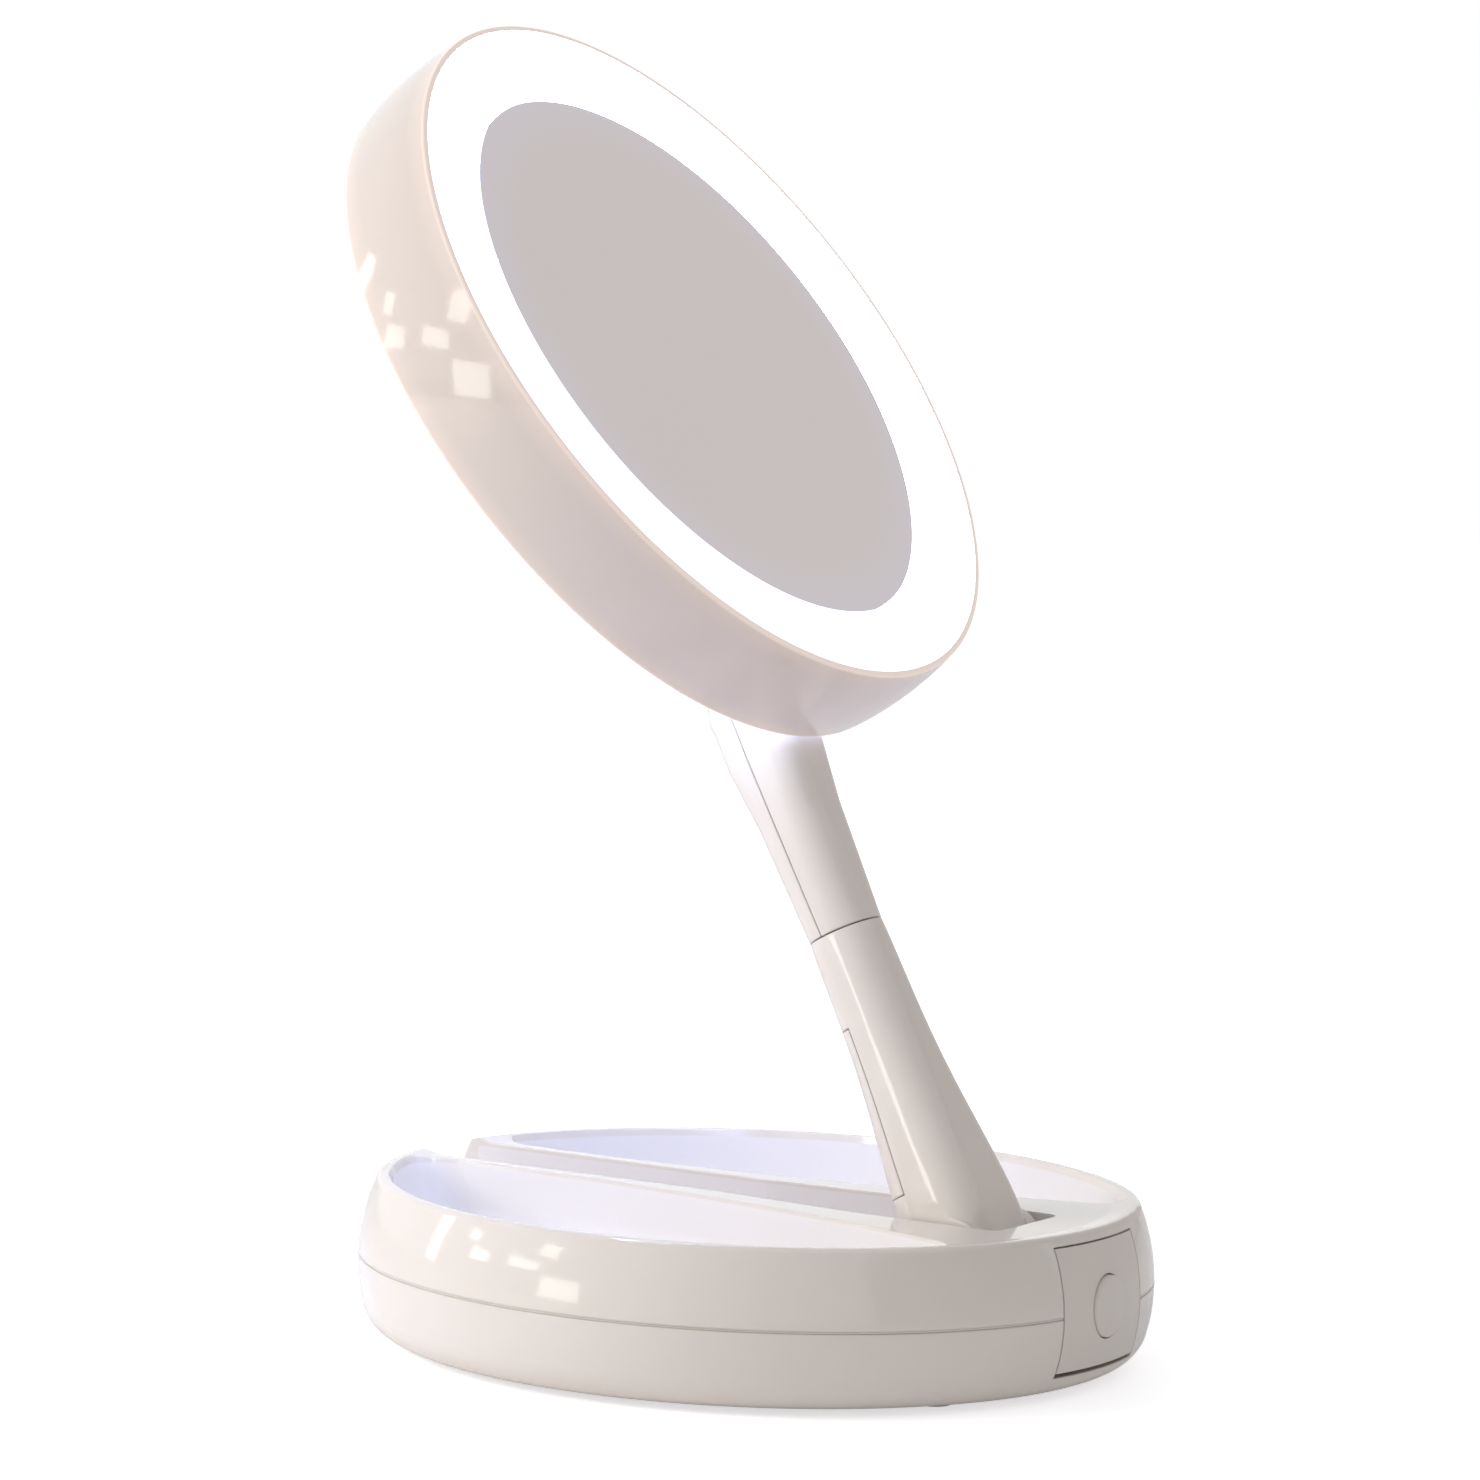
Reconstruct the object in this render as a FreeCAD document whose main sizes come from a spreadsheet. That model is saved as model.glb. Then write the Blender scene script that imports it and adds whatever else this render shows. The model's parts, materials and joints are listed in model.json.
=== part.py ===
import FreeCAD, Part
import math
import os

import Sketcher

# A folding lighted mirror. A round base with two trays carries an arm on a hinge near its
# front edge, and the arm carries a double-sided mirror head with a ring of light on each face.
# The base stands on z = 0 with its centre on the z axis, and its button faces -Y. The arm
# leans back, and it folds down into the channel between the trays. Lengths are millimetres.

doc = FreeCAD.newDocument("folding_lighted_mirror")

SIZES = {
    # shared by all pieces
    "wall": 2.2,
    "overrun": 2.0,
    "gap": 0.3,
    "running_fit": 0.05,
    "seam_gap": 0.2,
    # base body of revolution
    "foot_height": 1.3,
    "base_radius": 84.0,
    "belly_height": 16.6,
    "lower_side_radius": 36.0,
    "bottom_round": 8.0,
    "seam_height": 18.3,
    "seam_groove_height": 0.5,
    "seam_groove_depth": 0.7,
    "upper_side_radius": 42.0,
    "rim_height": 34.2,
    "rim_width": 1.9,
    "rim_round": 1.4,
    "deck_drop": 0.7,
    "deck_slope_width": 4.0,
    # trays
    "tray_depth": 13.8,
    "tray_inset": 6.0,
    "tray_slope": 9.0,
    "ridge_radius": 340.0,
    "ridge_offset": 13.8,
    "ridge_crown": 50.0,
    "ridge_slope": 4.0,
    "tray_corner_round": 7.5,
    "tray_floor_round": 6.5,
    # channel that takes the folded arm
    "channel_half_width": 10.4,
    "hinge_slot_half_width": 13.8,
    "channel_floor": 13.2,
    "slot_front_inset": 19.5,
    "slot_taper_front": 30.0,
    "slot_taper_back": 4.0,
    "slot_corner_round": 3.0,
    # button panel and button
    "panel_bottom": 6.6,
    "panel_top": 31.9,
    "panel_half_width": 16.5,
    "panel_thickness": 2.4,
    "panel_gap": 0.35,
    "panel_bottom_gap": 1.0,
    "panel_bay_depth": 6.0,
    "button_radius": 6.4,
    "button_height": 18.7,
    "button_proud": 0.7,
    "button_edge_proud": 0.1,
    "button_dome_radius": 36.0,
    "button_flange_setback": 3.9,
    "button_flange_radius": 7.7,
    "button_flange_thickness": 1.2,
    "button_stem_radius": 1.6,
    "button_stem_length": 3.0,
    "button_travel": 0.8,
    "switch_side": 6.0,
    "switch_depth": 3.4,
    "plunger_radius": 1.7,
    "plunger_length": 0.8,
    "switch_board_width": 18.0,
    "switch_board_height": 14.0,
    "board_thickness": 1.6,
    # circuit in the base
    "control_board_width": 24.0,
    "control_board_length": 40.0,
    "control_board_front": 52.0,
    "board_post_radius": 3.0,
    "board_post_height": 2.2,
    "board_post_inset": 5.0,
    "chip_side": 7.0,
    "chip_height": 1.2,
    "usb_offset": 30.0,
    "usb_width": 7.6,
    "usb_height": 2.8,
    "usb_length": 7.0,
    "usb_recess": 1.0,
    "usb_board_width": 9.0,
    "usb_board_length": 14.0,
    "usb_board_setback": 4.2,
    "usb_shelf_height": 2.9,
    # batteries
    "cell_radius": 7.25,
    "cell_length": 49.2,
    "cell_tip_radius": 2.7,
    "cell_tip_length": 1.3,
    "cell_pitch": 15.2,
    "bay_offset": 35.6,
    "bay_half_width": 15.6,
    "bay_half_length": 32.0,
    "bay_wall": 1.5,
    "bay_wall_top": 16.0,
    "contact_thickness": 0.5,
    "contact_height": 10.0,
    "battery_spring_radius": 3.6,
    "battery_spring_tip_radius": 2.2,
    "door_gap": 0.3,
    "door_grip_half_width": 6.0,
    "door_grip_depth": 0.8,
    "door_grip_length": 3.0,
    # feet and fasteners of the base
    "foot_radius": 4.0,
    "foot_recess": 1.0,
    "foot_inset": 16.0,
    "foot_angle": 27.0,
    "post_radius": 3.6,
    "post_gap": 0.2,
    "base_screw_radius": 1.3,
    "base_screw_head_radius": 2.5,
    "base_screw_head_height": 1.8,
    "base_screw_seat": 9.0,
    "base_screw_reach": 3.2,
    "front_screw_x": 22.2,
    "front_screw_inset": 29.5,
    "rear_screw_x": 16.5,
    "rear_screw_inset": 14.5,
    # hinge at the foot of the arm
    "arm_hinge_inset": 31.3,
    "arm_hinge_height": 24.75,
    "arm_lean": 27.8,
    "hinge_axle_radius": 2.5,
    "hinge_bracket_thickness": 2.0,
    "hinge_bracket_half_depth": 7.0,
    "hinge_bracket_crown": 5.5,
    "hinge_washer_radius": 6.0,
    # arm, from the hinge upwards
    "arm_length": 123.2,
    "root_half_width": 12.5,
    "root_radius": 10.0,
    "root_corner": 7.5,
    "root_height": 13.0,
    "calf_half_width": 10.3,
    "calf_half_depth": 8.9,
    "calf_corner": 7.6,
    "calf_height": 32.3,
    "shin_half_width": 8.6,
    "shin_half_depth": 8.0,
    "shin_corner": 7.3,
    "shin_height": 53.0,
    "waist_radius": 7.85,
    "waist_corner": 7.6,
    "waist_height": 73.3,
    "neck_half_width": 8.7,
    "neck_half_depth": 8.1,
    "neck_corner": 6.5,
    "neck_drop": 23.5,
    "knuckle_half_width": 9.2,
    "knuckle_radius": 8.8,
    "knuckle_corner": 5.0,
    "knuckle_round": 4.5,
    "knuckle_drop": 10.2,
    "arm_bore": 6.0,
    "lower_bore_bottom": 15.0,
    "cover_bottom": 17.0,
    "cover_top": 53.5,
    "cover_plane": 3.5,
    "upper_split": 1.5,
    "arm_screw_radius": 1.0,
    "arm_screw_head_radius": 1.7,
    "arm_screw_head_height": 1.3,
    "arm_screw_offset": 4.0,
    "arm_screw_reach": 3.4,
    "wire_radius": 0.9,
    "wire_spacing": 1.3,
    # swivel in the middle of the arm
    "spigot_radius": 3.6,
    "spigot_bore": 2.4,
    "spigot_flange_radius": 5.6,
    "spigot_flange_thickness": 1.6,
    "swivel_bearing_length": 8.4,
    "swivel_washer_thickness": 0.5,
    "swivel_clip_thickness": 1.2,
    # fork and pin at the top of the arm
    "fork_half_width": 5.7,
    "fork_depth": 8.4,
    "tongue_half_width": 5.0,
    "tongue_radius": 6.8,
    "tongue_drop": 8.0,
    "tongue_rise": 4.2,
    "tilt_pin_radius": 2.0,
    "tilt_pin_half_length": 8.3,
    "tilt_washer_radius": 5.5,
    "tilt_washer_thickness": 0.5,
    # mirror head
    "head_tilt": 36.8,
    "head_hinge_depth": 21.6,
    "head_hinge_inset": 13.4,
    "head_radius": 83.5,
    "head_edge_drop": 1.0,
    "head_thickness": 23.4,
    "head_wall": 2.2,
    "head_edge_round": 0.5,
    "web_thickness": 2.0,
    "web_hole_radius": 22.0,
    "ledge_width": 1.5,
    "ledge_thickness": 1.2,
    "ring_recess": 0.7,
    "ring_thickness": 1.7,
    "ring_gap": 0.15,
    "ring_flange_thickness": 1.5,
    "ring_flange_depth": 2.4,
    "ring_width": 14.85,
    "mirror_gap": 0.3,
    "mirror_recess": 2.1,
    "mirror_thickness": 2.0,
    "holder_wall": 1.7,
    "holder_ledge_width": 8.0,
    "holder_ledge_thickness": 1.5,
    "led_board_inner_gap": 1.0,
    "led_board_outer_gap": 0.4,
    "led_board_thickness": 1.2,
    "led_length": 3.5,
    "led_width": 2.8,
    "led_height": 1.0,
    "led_count": 24,
    "bracket_top_gap": 0.5,
    "bracket_clearance": 0.4,
    "bracket_screw_radius": 1.1,
    "bracket_screw_head_radius": 2.0,
    "bracket_screw_head_height": 1.2,
    "bracket_screw_spacing": 2.6,
    "bracket_screw_reach": 6.0,
}

WORKED_OUT = {
    # base
    "deck_height": "=dim.rim_height - dim.deck_drop",
    "side_centre": "=dim.base_radius - dim.lower_side_radius",
    "upper_centre": "=dim.base_radius - dim.upper_side_radius",
    "round_height": "=dim.foot_height + dim.bottom_round",
    "round_drop": "=dim.belly_height - round_height",
    "round_offset": "=dim.lower_side_radius - dim.bottom_round",
    "round_reach": "=sqrt(round_offset ^ 2 - round_drop ^ 2)",
    "round_centre": "=side_centre + round_reach",
    "rim_reach": "=sqrt(dim.upper_side_radius ^ 2 - (dim.rim_height - dim.belly_height) ^ 2)",
    "rim_outer": "=upper_centre + rim_reach",
    "rim_inner": "=rim_outer - dim.rim_width",
    "deck_radius": "=rim_inner - dim.deck_slope_width",
    "floor_top": "=dim.foot_height + dim.wall",
    "seam_reach": "=sqrt(dim.upper_side_radius ^ 2 - (dim.seam_height - dim.belly_height) ^ 2)",
    "seam_radius": "=upper_centre + seam_reach",
    "beyond_base": "=dim.base_radius + dim.overrun",
    "tray_floor": "=dim.rim_height - dim.tray_depth",
    "ridge_centre": "=dim.ridge_radius + dim.ridge_offset",
    "tray_radius": "=dim.base_radius - dim.tray_inset",
    "slot_end": "=dim.slot_front_inset - dim.base_radius",
    "slot_wide_end": "=-dim.slot_taper_front",
    "block_front": "=slot_end - dim.wall",
    "block_half_width": "=dim.channel_half_width + dim.wall",
    "block_wide_half_width": "=dim.hinge_slot_half_width + dim.wall",
    "block_floor": "=dim.channel_floor - dim.wall",
    "block_top": "=deck_height - dim.wall / 2",
    "inner_back": "=sqrt((dim.base_radius - dim.wall) ^ 2 - block_half_width ^ 2)",
    "block_back": "=inner_back - dim.wall / 2",
    # button
    "button_back_y": "=dim.button_flange_setback + dim.button_flange_thickness",
    "button_stem_y": "=button_back_y + dim.button_stem_length",
    "plunger_y": "=button_stem_y + dim.button_travel + dim.gap - dim.base_radius",
    "switch_y": "=plunger_y + dim.plunger_length",
    "switch_board_y": "=switch_y + dim.switch_depth",
    "switch_board_z": "=dim.button_height - dim.switch_board_height / 2",
    # circuit and batteries
    "control_board_z": "=floor_top + dim.board_post_height",
    "usb_board_z": "=floor_top + dim.usb_shelf_height",
    "usb_z": "=usb_board_z + dim.board_thickness",
    "usb_wall": "=sqrt((dim.base_radius - dim.wall) ^ 2 - dim.usb_offset ^ 2)",
    "usb_y": "=usb_wall - dim.usb_length / 2",
    "usb_front": "=usb_wall - dim.usb_recess",
    "usb_board_y": "=usb_wall - dim.usb_board_length - dim.usb_board_setback",
    "cell_z": "=floor_top + dim.cell_radius + dim.seam_gap",
    "cell_end": "=dim.bay_half_length - dim.contact_thickness",
    "cell_start": "=cell_end - dim.cell_tip_length - dim.cell_length",
    "spring_length": "=cell_start + cell_end - dim.seam_gap",
    "foot_circle": "=dim.base_radius - dim.foot_inset",
    "foot_x": "=foot_circle * sin(dim.foot_angle)",
    "foot_y": "=foot_circle * cos(dim.foot_angle)",
    "front_screw_y": "=dim.base_radius - dim.front_screw_inset",
    "rear_screw_y": "=dim.base_radius - dim.rear_screw_inset",
    "foot_full_height": "=dim.foot_height + dim.foot_recess",
    "post_top": "=dim.seam_height - dim.post_gap",
    "screw_top": "=dim.seam_height + dim.base_screw_reach",
    # arm
    "arm_hinge_y": "=dim.arm_hinge_inset - dim.base_radius",
    "bracket_inner": "=block_wide_half_width + dim.seam_gap",
    "bracket_outer": "=bracket_inner + dim.hinge_bracket_thickness",
    "bracket_height": "=dim.arm_hinge_height + dim.hinge_bracket_crown - floor_top",
    "washer_inner": "=dim.root_half_width + dim.seam_gap / 2",
    "washer_thickness": "=dim.hinge_slot_half_width - dim.root_half_width - dim.seam_gap",
    "lower_arm_top": "=dim.waist_height - dim.gap / 2",
    "upper_arm_bottom": "=dim.waist_height + dim.gap / 2",
    "lower_bearing_bottom": "=lower_arm_top - dim.swivel_bearing_length",
    "upper_bearing_top": "=upper_arm_bottom + dim.swivel_bearing_length",
    "spigot_flange_bottom": "=upper_bearing_top + dim.seam_gap",
    "spigot_top": "=spigot_flange_bottom + dim.spigot_flange_thickness",
    "washer_top": "=lower_bearing_bottom - dim.seam_gap / 2",
    "clip_top": "=washer_top - dim.swivel_washer_thickness",
    "spigot_bottom": "=clip_top - 2 * dim.swivel_clip_thickness",
    "fork_floor": "=dim.arm_length - dim.fork_depth",
    "upper_bore_top": "=fork_floor - 3 * dim.wall",
    "arm_screw_height": "=(fork_floor + upper_bore_top) / 2",
    "neck_height": "=dim.arm_length - dim.neck_drop",
    "knuckle_height": "=dim.arm_length - dim.knuckle_drop",
    "head_hinge_y": "=arm_hinge_y + dim.arm_length * sin(dim.arm_lean)",
    "head_hinge_z": "=dim.arm_hinge_height + dim.arm_length * cos(dim.arm_lean)",
    # head
    "head_hinge_drop": "=dim.head_radius - dim.head_hinge_inset",
    "depth_y": "=dim.head_hinge_depth * cos(dim.head_tilt)",
    "depth_z": "=dim.head_hinge_depth * sin(dim.head_tilt)",
    "drop_y": "=head_hinge_drop * sin(dim.head_tilt)",
    "drop_z": "=head_hinge_drop * cos(dim.head_tilt)",
    "head_y": "=head_hinge_y - depth_y + drop_y",
    "head_z": "=head_hinge_z + depth_z + drop_z",
    "head_half": "=dim.head_thickness / 2",
    "head_edge_radius": "=dim.head_radius - dim.head_edge_drop",
    "head_barrel": "=(head_half ^ 2 + dim.head_edge_drop ^ 2) / (2 * dim.head_edge_drop)",
    "web_half": "=dim.web_thickness / 2",
    "ring_face": "=head_half - dim.ring_recess",
    "ring_back": "=ring_face - dim.ring_thickness",
    "head_inner_radius": "=dim.head_radius - dim.head_wall",
    "ring_outer": "=head_inner_radius - dim.ring_gap",
    "ring_inner": "=ring_outer - dim.ring_width",
    "ring_flange_radius": "=ring_inner + dim.ring_flange_thickness",
    "ring_flange_end": "=ring_face - dim.ring_flange_depth",
    "ledge_radius": "=head_inner_radius - dim.ledge_width",
    "ledge_y": "=ring_back - dim.ledge_thickness",
    "mirror_radius": "=ring_inner - dim.mirror_gap",
    "mirror_face": "=head_half - dim.mirror_recess",
    "mirror_back": "=mirror_face - dim.mirror_thickness",
    "holder_outer": "=ring_inner + dim.holder_wall",
    "holder_inner": "=ring_inner - dim.holder_ledge_width",
    "holder_ledge_back": "=mirror_back - dim.holder_ledge_thickness",
    "board_face": "=web_half + dim.led_board_thickness",
    "led_board_inner_radius": "=holder_outer + dim.led_board_inner_gap",
    "led_board_outer_radius": "=ledge_radius - dim.led_board_outer_gap",
    "led_circle": "=(led_board_inner_radius + led_board_outer_radius) / 2",
    "led_step": "=360 / dim.led_count",
    "led_start": "=led_step / 2",
    "tongue_bottom": "=-head_hinge_drop - dim.tongue_drop",
    "tongue_seat_top": "=-holder_outer - dim.bracket_top_gap",
    "tongue_top": "=-head_hinge_drop + dim.tongue_rise",
    "tongue_low": "=-head_hinge_drop - dim.tongue_radius",
    "tongue_high": "=-head_hinge_drop + dim.tongue_radius",
    "tongue_shoulder": "=head_half + dim.gap",
}


def make_sheet(name, cells):
    """Make a spreadsheet with one named cell for each size."""
    sheet = doc.addObject("Spreadsheet::Sheet", name)
    for row, (alias, content) in enumerate(cells.items(), start=1):
        sheet.set(f"A{row}", alias)
        sheet.set(f"B{row}", str(content))
        sheet.setAlias(f"B{row}", alias)
    doc.recompute()
    return sheet


def revolved_offsets():
    """Work out where the base outline's arcs meet, for each skin of the base."""
    skins = {"skin": "0", "cavity": "dim.wall", "panel": "dim.panel_thickness"}
    cells = {}
    for skin, inset in skins.items():
        cells[f"{skin}_bottom"] = f"=dim.foot_height + {inset}"
        cells[f"{skin}_bottom_round"] = f"=dim.bottom_round - {inset}"
        cells[f"{skin}_side_radius"] = f"=dim.lower_side_radius - {inset}"
        cells[f"{skin}_upper_radius"] = f"=dim.upper_side_radius - {inset}"
        cells[f"{skin}_radius"] = f"=dim.base_radius - {inset}"
        cells[f"{skin}_meet_x"] = f"=side_centre + round_reach * {skin}_side_radius / round_offset"
        cells[f"{skin}_meet_z"] = f"=dim.belly_height - round_drop * {skin}_side_radius / round_offset"
        cells[f"{skin}_top"] = "=dim.rim_height" if inset == "0" else f"=deck_height - {inset}"
        cells[f"{skin}_top_reach"] = f"=sqrt({skin}_upper_radius ^ 2 - ({skin}_top - dim.belly_height) ^ 2)"
        cells[f"{skin}_top_x"] = f"=upper_centre + {skin}_top_reach"
    return cells


dim = make_sheet("dim", SIZES)
WORKED_OUT.update(revolved_offsets())
at = make_sheet("at", WORKED_OUT)
pieces = []


def number(name):
    """Read a size by its name, which may carry a minus sign."""
    if name == "0":
        return 0.0
    alias = name.lstrip("-")
    value = float(getattr(dim if alias in SIZES else at, alias))
    return -value if name.startswith("-") else value


def formula(name):
    """Write a size's name as an expression."""
    if name == "0":
        return name
    alias = name.lstrip("-")
    sheet = "dim" if alias in SIZES else "at"
    return name.replace(alias, f"{sheet}.{alias}")


def resolve(text):
    """Turn a size name into an expression, and leave an expression as it is."""
    return formula(text) if text.lstrip("-") in {**SIZES, **WORKED_OUT} else text


ALONG_X = FreeCAD.Rotation(FreeCAD.Vector(0, 1, 0), 90)
ALONG_Y = FreeCAD.Rotation(FreeCAD.Vector(1, 0, 0), -90)
ALONG_Z = FreeCAD.Rotation()
# a turn about the x axis, whose angle each piece's own expression sets
LEANING = FreeCAD.Rotation(FreeCAD.Vector(1, 0, 0), 1)


def place(item, spot, turn=ALONG_Z):
    """Stand an object on a spot given by three size names or expressions."""
    item.Placement = FreeCAD.Placement(FreeCAD.Vector(), turn)
    for axis, name in zip("xyz", spot):
        item.setExpression(f"Placement.Base.{axis}", resolve(name))
    return item


def cylinder(name, radius, length, spot, turn=ALONG_Z):
    """Make a cylinder from size names or expressions."""
    item = doc.addObject("Part::Cylinder", name)
    for key, text in {"Radius": radius, "Height": length}.items():
        item.setExpression(key, resolve(text))
    return place(item, spot, turn)


def cone(name, low_radius, high_radius, length, spot, turn=ALONG_Z):
    """Make a cone from size names or expressions."""
    item = doc.addObject("Part::Cone", name)
    for key, text in {"Radius1": low_radius, "Radius2": high_radius, "Height": length}.items():
        item.setExpression(key, resolve(text))
    return place(item, spot, turn)


def box(name, low, high):
    """Make a box between two corners, each three size names or expressions."""
    item = doc.addObject("Part::Box", name)
    for key, start, end in zip(("Length", "Width", "Height"), low, high):
        item.setExpression(key, f"({resolve(end)}) - ({resolve(start)})")
    return place(item, low)


def fuse(name, *items):
    """Join solids into one."""
    item = doc.addObject("Part::MultiFuse", name)
    item.Shapes = list(items)
    item.Refine = True
    return item


def common(name, *items):
    """Keep what the solids share."""
    item = doc.addObject("Part::MultiCommon", name)
    item.Shapes = list(items)
    return item


def cut(name, base, *tools):
    """Cut tools out of a solid."""
    item = doc.addObject("Part::Cut", name)
    item.Base = base
    item.Tool = tools[0] if len(tools) == 1 else fuse(f"{name}_tools", *tools)
    item.Refine = True
    return item


def group(name, items):
    """Keep separate solids together as one node."""
    item = doc.addObject("Part::Compound", name)
    item.Links = list(items)
    return item


def rounded(name, base, radius, chosen):
    """Round the edges of a solid that a test picks out."""
    doc.recompute()
    edges = enumerate(base.Shape.Edges, start=1)
    item = doc.addObject("Part::Fillet", name)
    item.Base = base
    item.Edges = [(index, number(radius), number(radius)) for index, edge in edges if chosen(edge)]
    return item


def sketch_on(body, role, name):
    """Start a sketch on one of a body's own origin planes."""
    plane = next(item for item in body.Origin.OriginFeatures if item.Role == role)
    sketch = body.newObject("Sketcher::SketchObject", name)
    sketch.AttachmentSupport = [(plane, "")]
    sketch.MapMode = "FlatFace"
    return sketch


def arc_between(start, end, radius, turn):
    """Make the short arc from start to end that turns left (1) or right (-1)."""
    chord = end - start
    left = FreeCAD.Vector(-chord.y, chord.x, 0).normalize()
    height = math.sqrt(radius ** 2 - chord.Length ** 2 / 4)
    centre = (start + end) / 2 + left * height * turn
    first, last = (start, end) if turn > 0 else (end, start)
    angles = [math.atan2(spot.y - centre.y, spot.x - centre.x) for spot in (first, last)]
    circle = Part.Circle(centre, FreeCAD.Vector(0, 0, 1), radius)
    return Part.ArcOfCircle(circle, *angles)


def hold(sketch, kind, ends, name):
    """Add a dimension to a sketch and bind it to a size."""
    index = sketch.addConstraint(Sketcher.Constraint(kind, *ends, number(name)))
    if name != "0":
        sketch.setExpression(f"Constraints[{index}]", formula(name))


def draw(sketch, corners):
    """Draw a closed outline through corners.

    A corner is a pair of size names. A third entry makes the side that leaves the corner
    an arc of that radius, and a fourth says whether it turns left (1) or right (-1).
    """
    spots = [FreeCAD.Vector(number(corner[0]), number(corner[1]), 0) for corner in corners]
    ends = []
    for here, corner in enumerate(corners):
        start, end = spots[here], spots[(here + 1) % len(spots)]
        turn = corner[3] if len(corner) > 2 else 0
        side = arc_between(start, end, number(corner[2]), turn) if turn else Part.LineSegment(start, end)
        sketch.addGeometry(side)
        ends.append((2, 1) if turn < 0 else (1, 2))
    origin = (-1, 1)
    for here, corner in enumerate(corners):
        sketch.addConstraint(Sketcher.Constraint("Coincident", here - 1 if here else len(corners) - 1,
                                                 ends[here - 1][1], here, ends[here][0]))
        hold(sketch, "DistanceX", (*origin, here, ends[here][0]), corner[0])
        hold(sketch, "DistanceY", (*origin, here, ends[here][0]), corner[1])
        if len(corner) > 2:
            hold(sketch, "Radius", (here,), corner[2])


def turned(name, role, corners):
    """Turn an outline about the sketch's upright axis, on a body's own plane."""
    body = doc.addObject("PartDesign::Body", name)
    sketch = sketch_on(body, role, f"{name}_outline")
    draw(sketch, corners)
    feature = body.newObject("PartDesign::Revolution", f"{name}_turn")
    feature.Profile = sketch
    feature.ReferenceAxis = (sketch, ["V_Axis"])
    feature.Angle = 360
    return body


def padded(name, role, corners, length):
    """Pad an outline by a length, half to each side of its plane."""
    body = doc.addObject("PartDesign::Body", name)
    sketch = sketch_on(body, role, f"{name}_outline")
    draw(sketch, corners)
    feature = body.newObject("PartDesign::Pad", f"{name}_pad")
    feature.Profile = sketch
    feature.SideType = "Symmetric"
    feature.setExpression("Length", length)
    return body


def round_section(body, name, height, half_width, half_depth, corner):
    """Sketch a rectangle with round corners at a height in a body."""
    sketch = sketch_on(body, "XY_Plane", name)
    sketch.setExpression("AttachmentOffset.Base.z", formula(height))
    wide, deep, radius = number(half_width), number(half_depth), number(corner)
    quarter = math.pi / 2
    spans = ((1, 1), (-1, 1), (-1, -1), (1, -1))
    for turn, (east, north) in enumerate(spans):
        centre = FreeCAD.Vector(east * (wide - radius), north * (deep - radius), 0)
        circle = Part.Circle(centre, FreeCAD.Vector(0, 0, 1), radius)
        sketch.addGeometry(Part.ArcOfCircle(circle, turn * quarter, (turn + 1) * quarter))
    for turn in range(len(spans)):
        start = sketch.Geometry[turn].EndPoint
        end = sketch.Geometry[(turn + 1) % len(spans)].StartPoint
        sketch.addGeometry(Part.LineSegment(start, end))
    for turn in range(len(spans)):
        side = turn + len(spans)
        sketch.addConstraint(Sketcher.Constraint("Tangent", turn, 2, side, 1))
        sketch.addConstraint(Sketcher.Constraint("Tangent", side, 2, (turn + 1) % len(spans), 1))
        sketch.addConstraint(Sketcher.Constraint("Horizontal" if turn % 2 == 0 else "Vertical", side))
        if turn:
            sketch.addConstraint(Sketcher.Constraint("Equal", 0, turn))
    hold(sketch, "Radius", (0,), corner)
    origin = (-1, 1)
    north, west, south, east = (turn + len(spans) for turn in range(len(spans)))
    hold(sketch, "DistanceY", (*origin, north, 1), half_depth)
    hold(sketch, "DistanceX", (*origin, west, 1), f"-{half_width}")
    hold(sketch, "DistanceY", (*origin, south, 1), f"-{half_depth}")
    hold(sketch, "DistanceX", (*origin, east, 1), half_width)
    return sketch


def lofted(name, sections, straight=False):
    """Loft a body through round-cornered sections, straight or curved between them."""
    body = doc.addObject("PartDesign::Body", name)
    sketches = [round_section(body, f"{name}_{index}", *section) for index, section in enumerate(sections)]
    feature = body.newObject("PartDesign::AdditiveLoft", f"{name}_loft")
    feature.Profile = (sketches[0], [""])
    feature.Sections = [(sketch, [""]) for sketch in sketches[1:]]
    feature.Ruled = straight
    return body


def keep(item, label, spot=("0", "0", "0"), lean="0"):
    """Label a finished piece and put it in its place in the assembly."""
    if item.TypeId in ("Part::Box", "Part::Cylinder"):
        item = group(f"{item.Name}_piece", [item])
    item.Label = label
    item.Placement = FreeCAD.Placement(FreeCAD.Vector(), LEANING)
    for axis, name in zip("xyz", spot):
        item.setExpression(f"Placement.Base.{axis}", formula(name))
    item.setExpression("Placement.Rotation.Angle", formula(lean))
    pieces.append(item)
    return item


def on_arm(item, label):
    """Put a piece made along the z axis on the leaning arm, whose hinge is its origin."""
    return keep(item, label, ("0", "arm_hinge_y", "arm_hinge_height"), "-arm_lean")


def on_head(item, label):
    """Put a piece made about the y axis on the tilted head, whose centre is its origin."""
    return keep(item, label, ("0", "head_y", "head_z"), "-head_tilt")


def base_skin(name, skin):
    """Turn the base's outline, at one of its skins, about the z axis."""
    corners = [
        ("0", f"{skin}_bottom"),
        ("round_centre", f"{skin}_bottom", f"{skin}_bottom_round", 1),
        (f"{skin}_meet_x", f"{skin}_meet_z", f"{skin}_side_radius", 1),
        (f"{skin}_radius", "belly_height", f"{skin}_upper_radius", 1),
        (f"{skin}_top_x", f"{skin}_top"),
    ]
    if skin == "skin":
        corners += [("rim_inner", "rim_height"), ("deck_radius", "deck_height"), ("0", "deck_height")]
    else:
        corners.append(("0", f"{skin}_top"))
    return turned(name, "XZ_Plane", corners)


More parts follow.
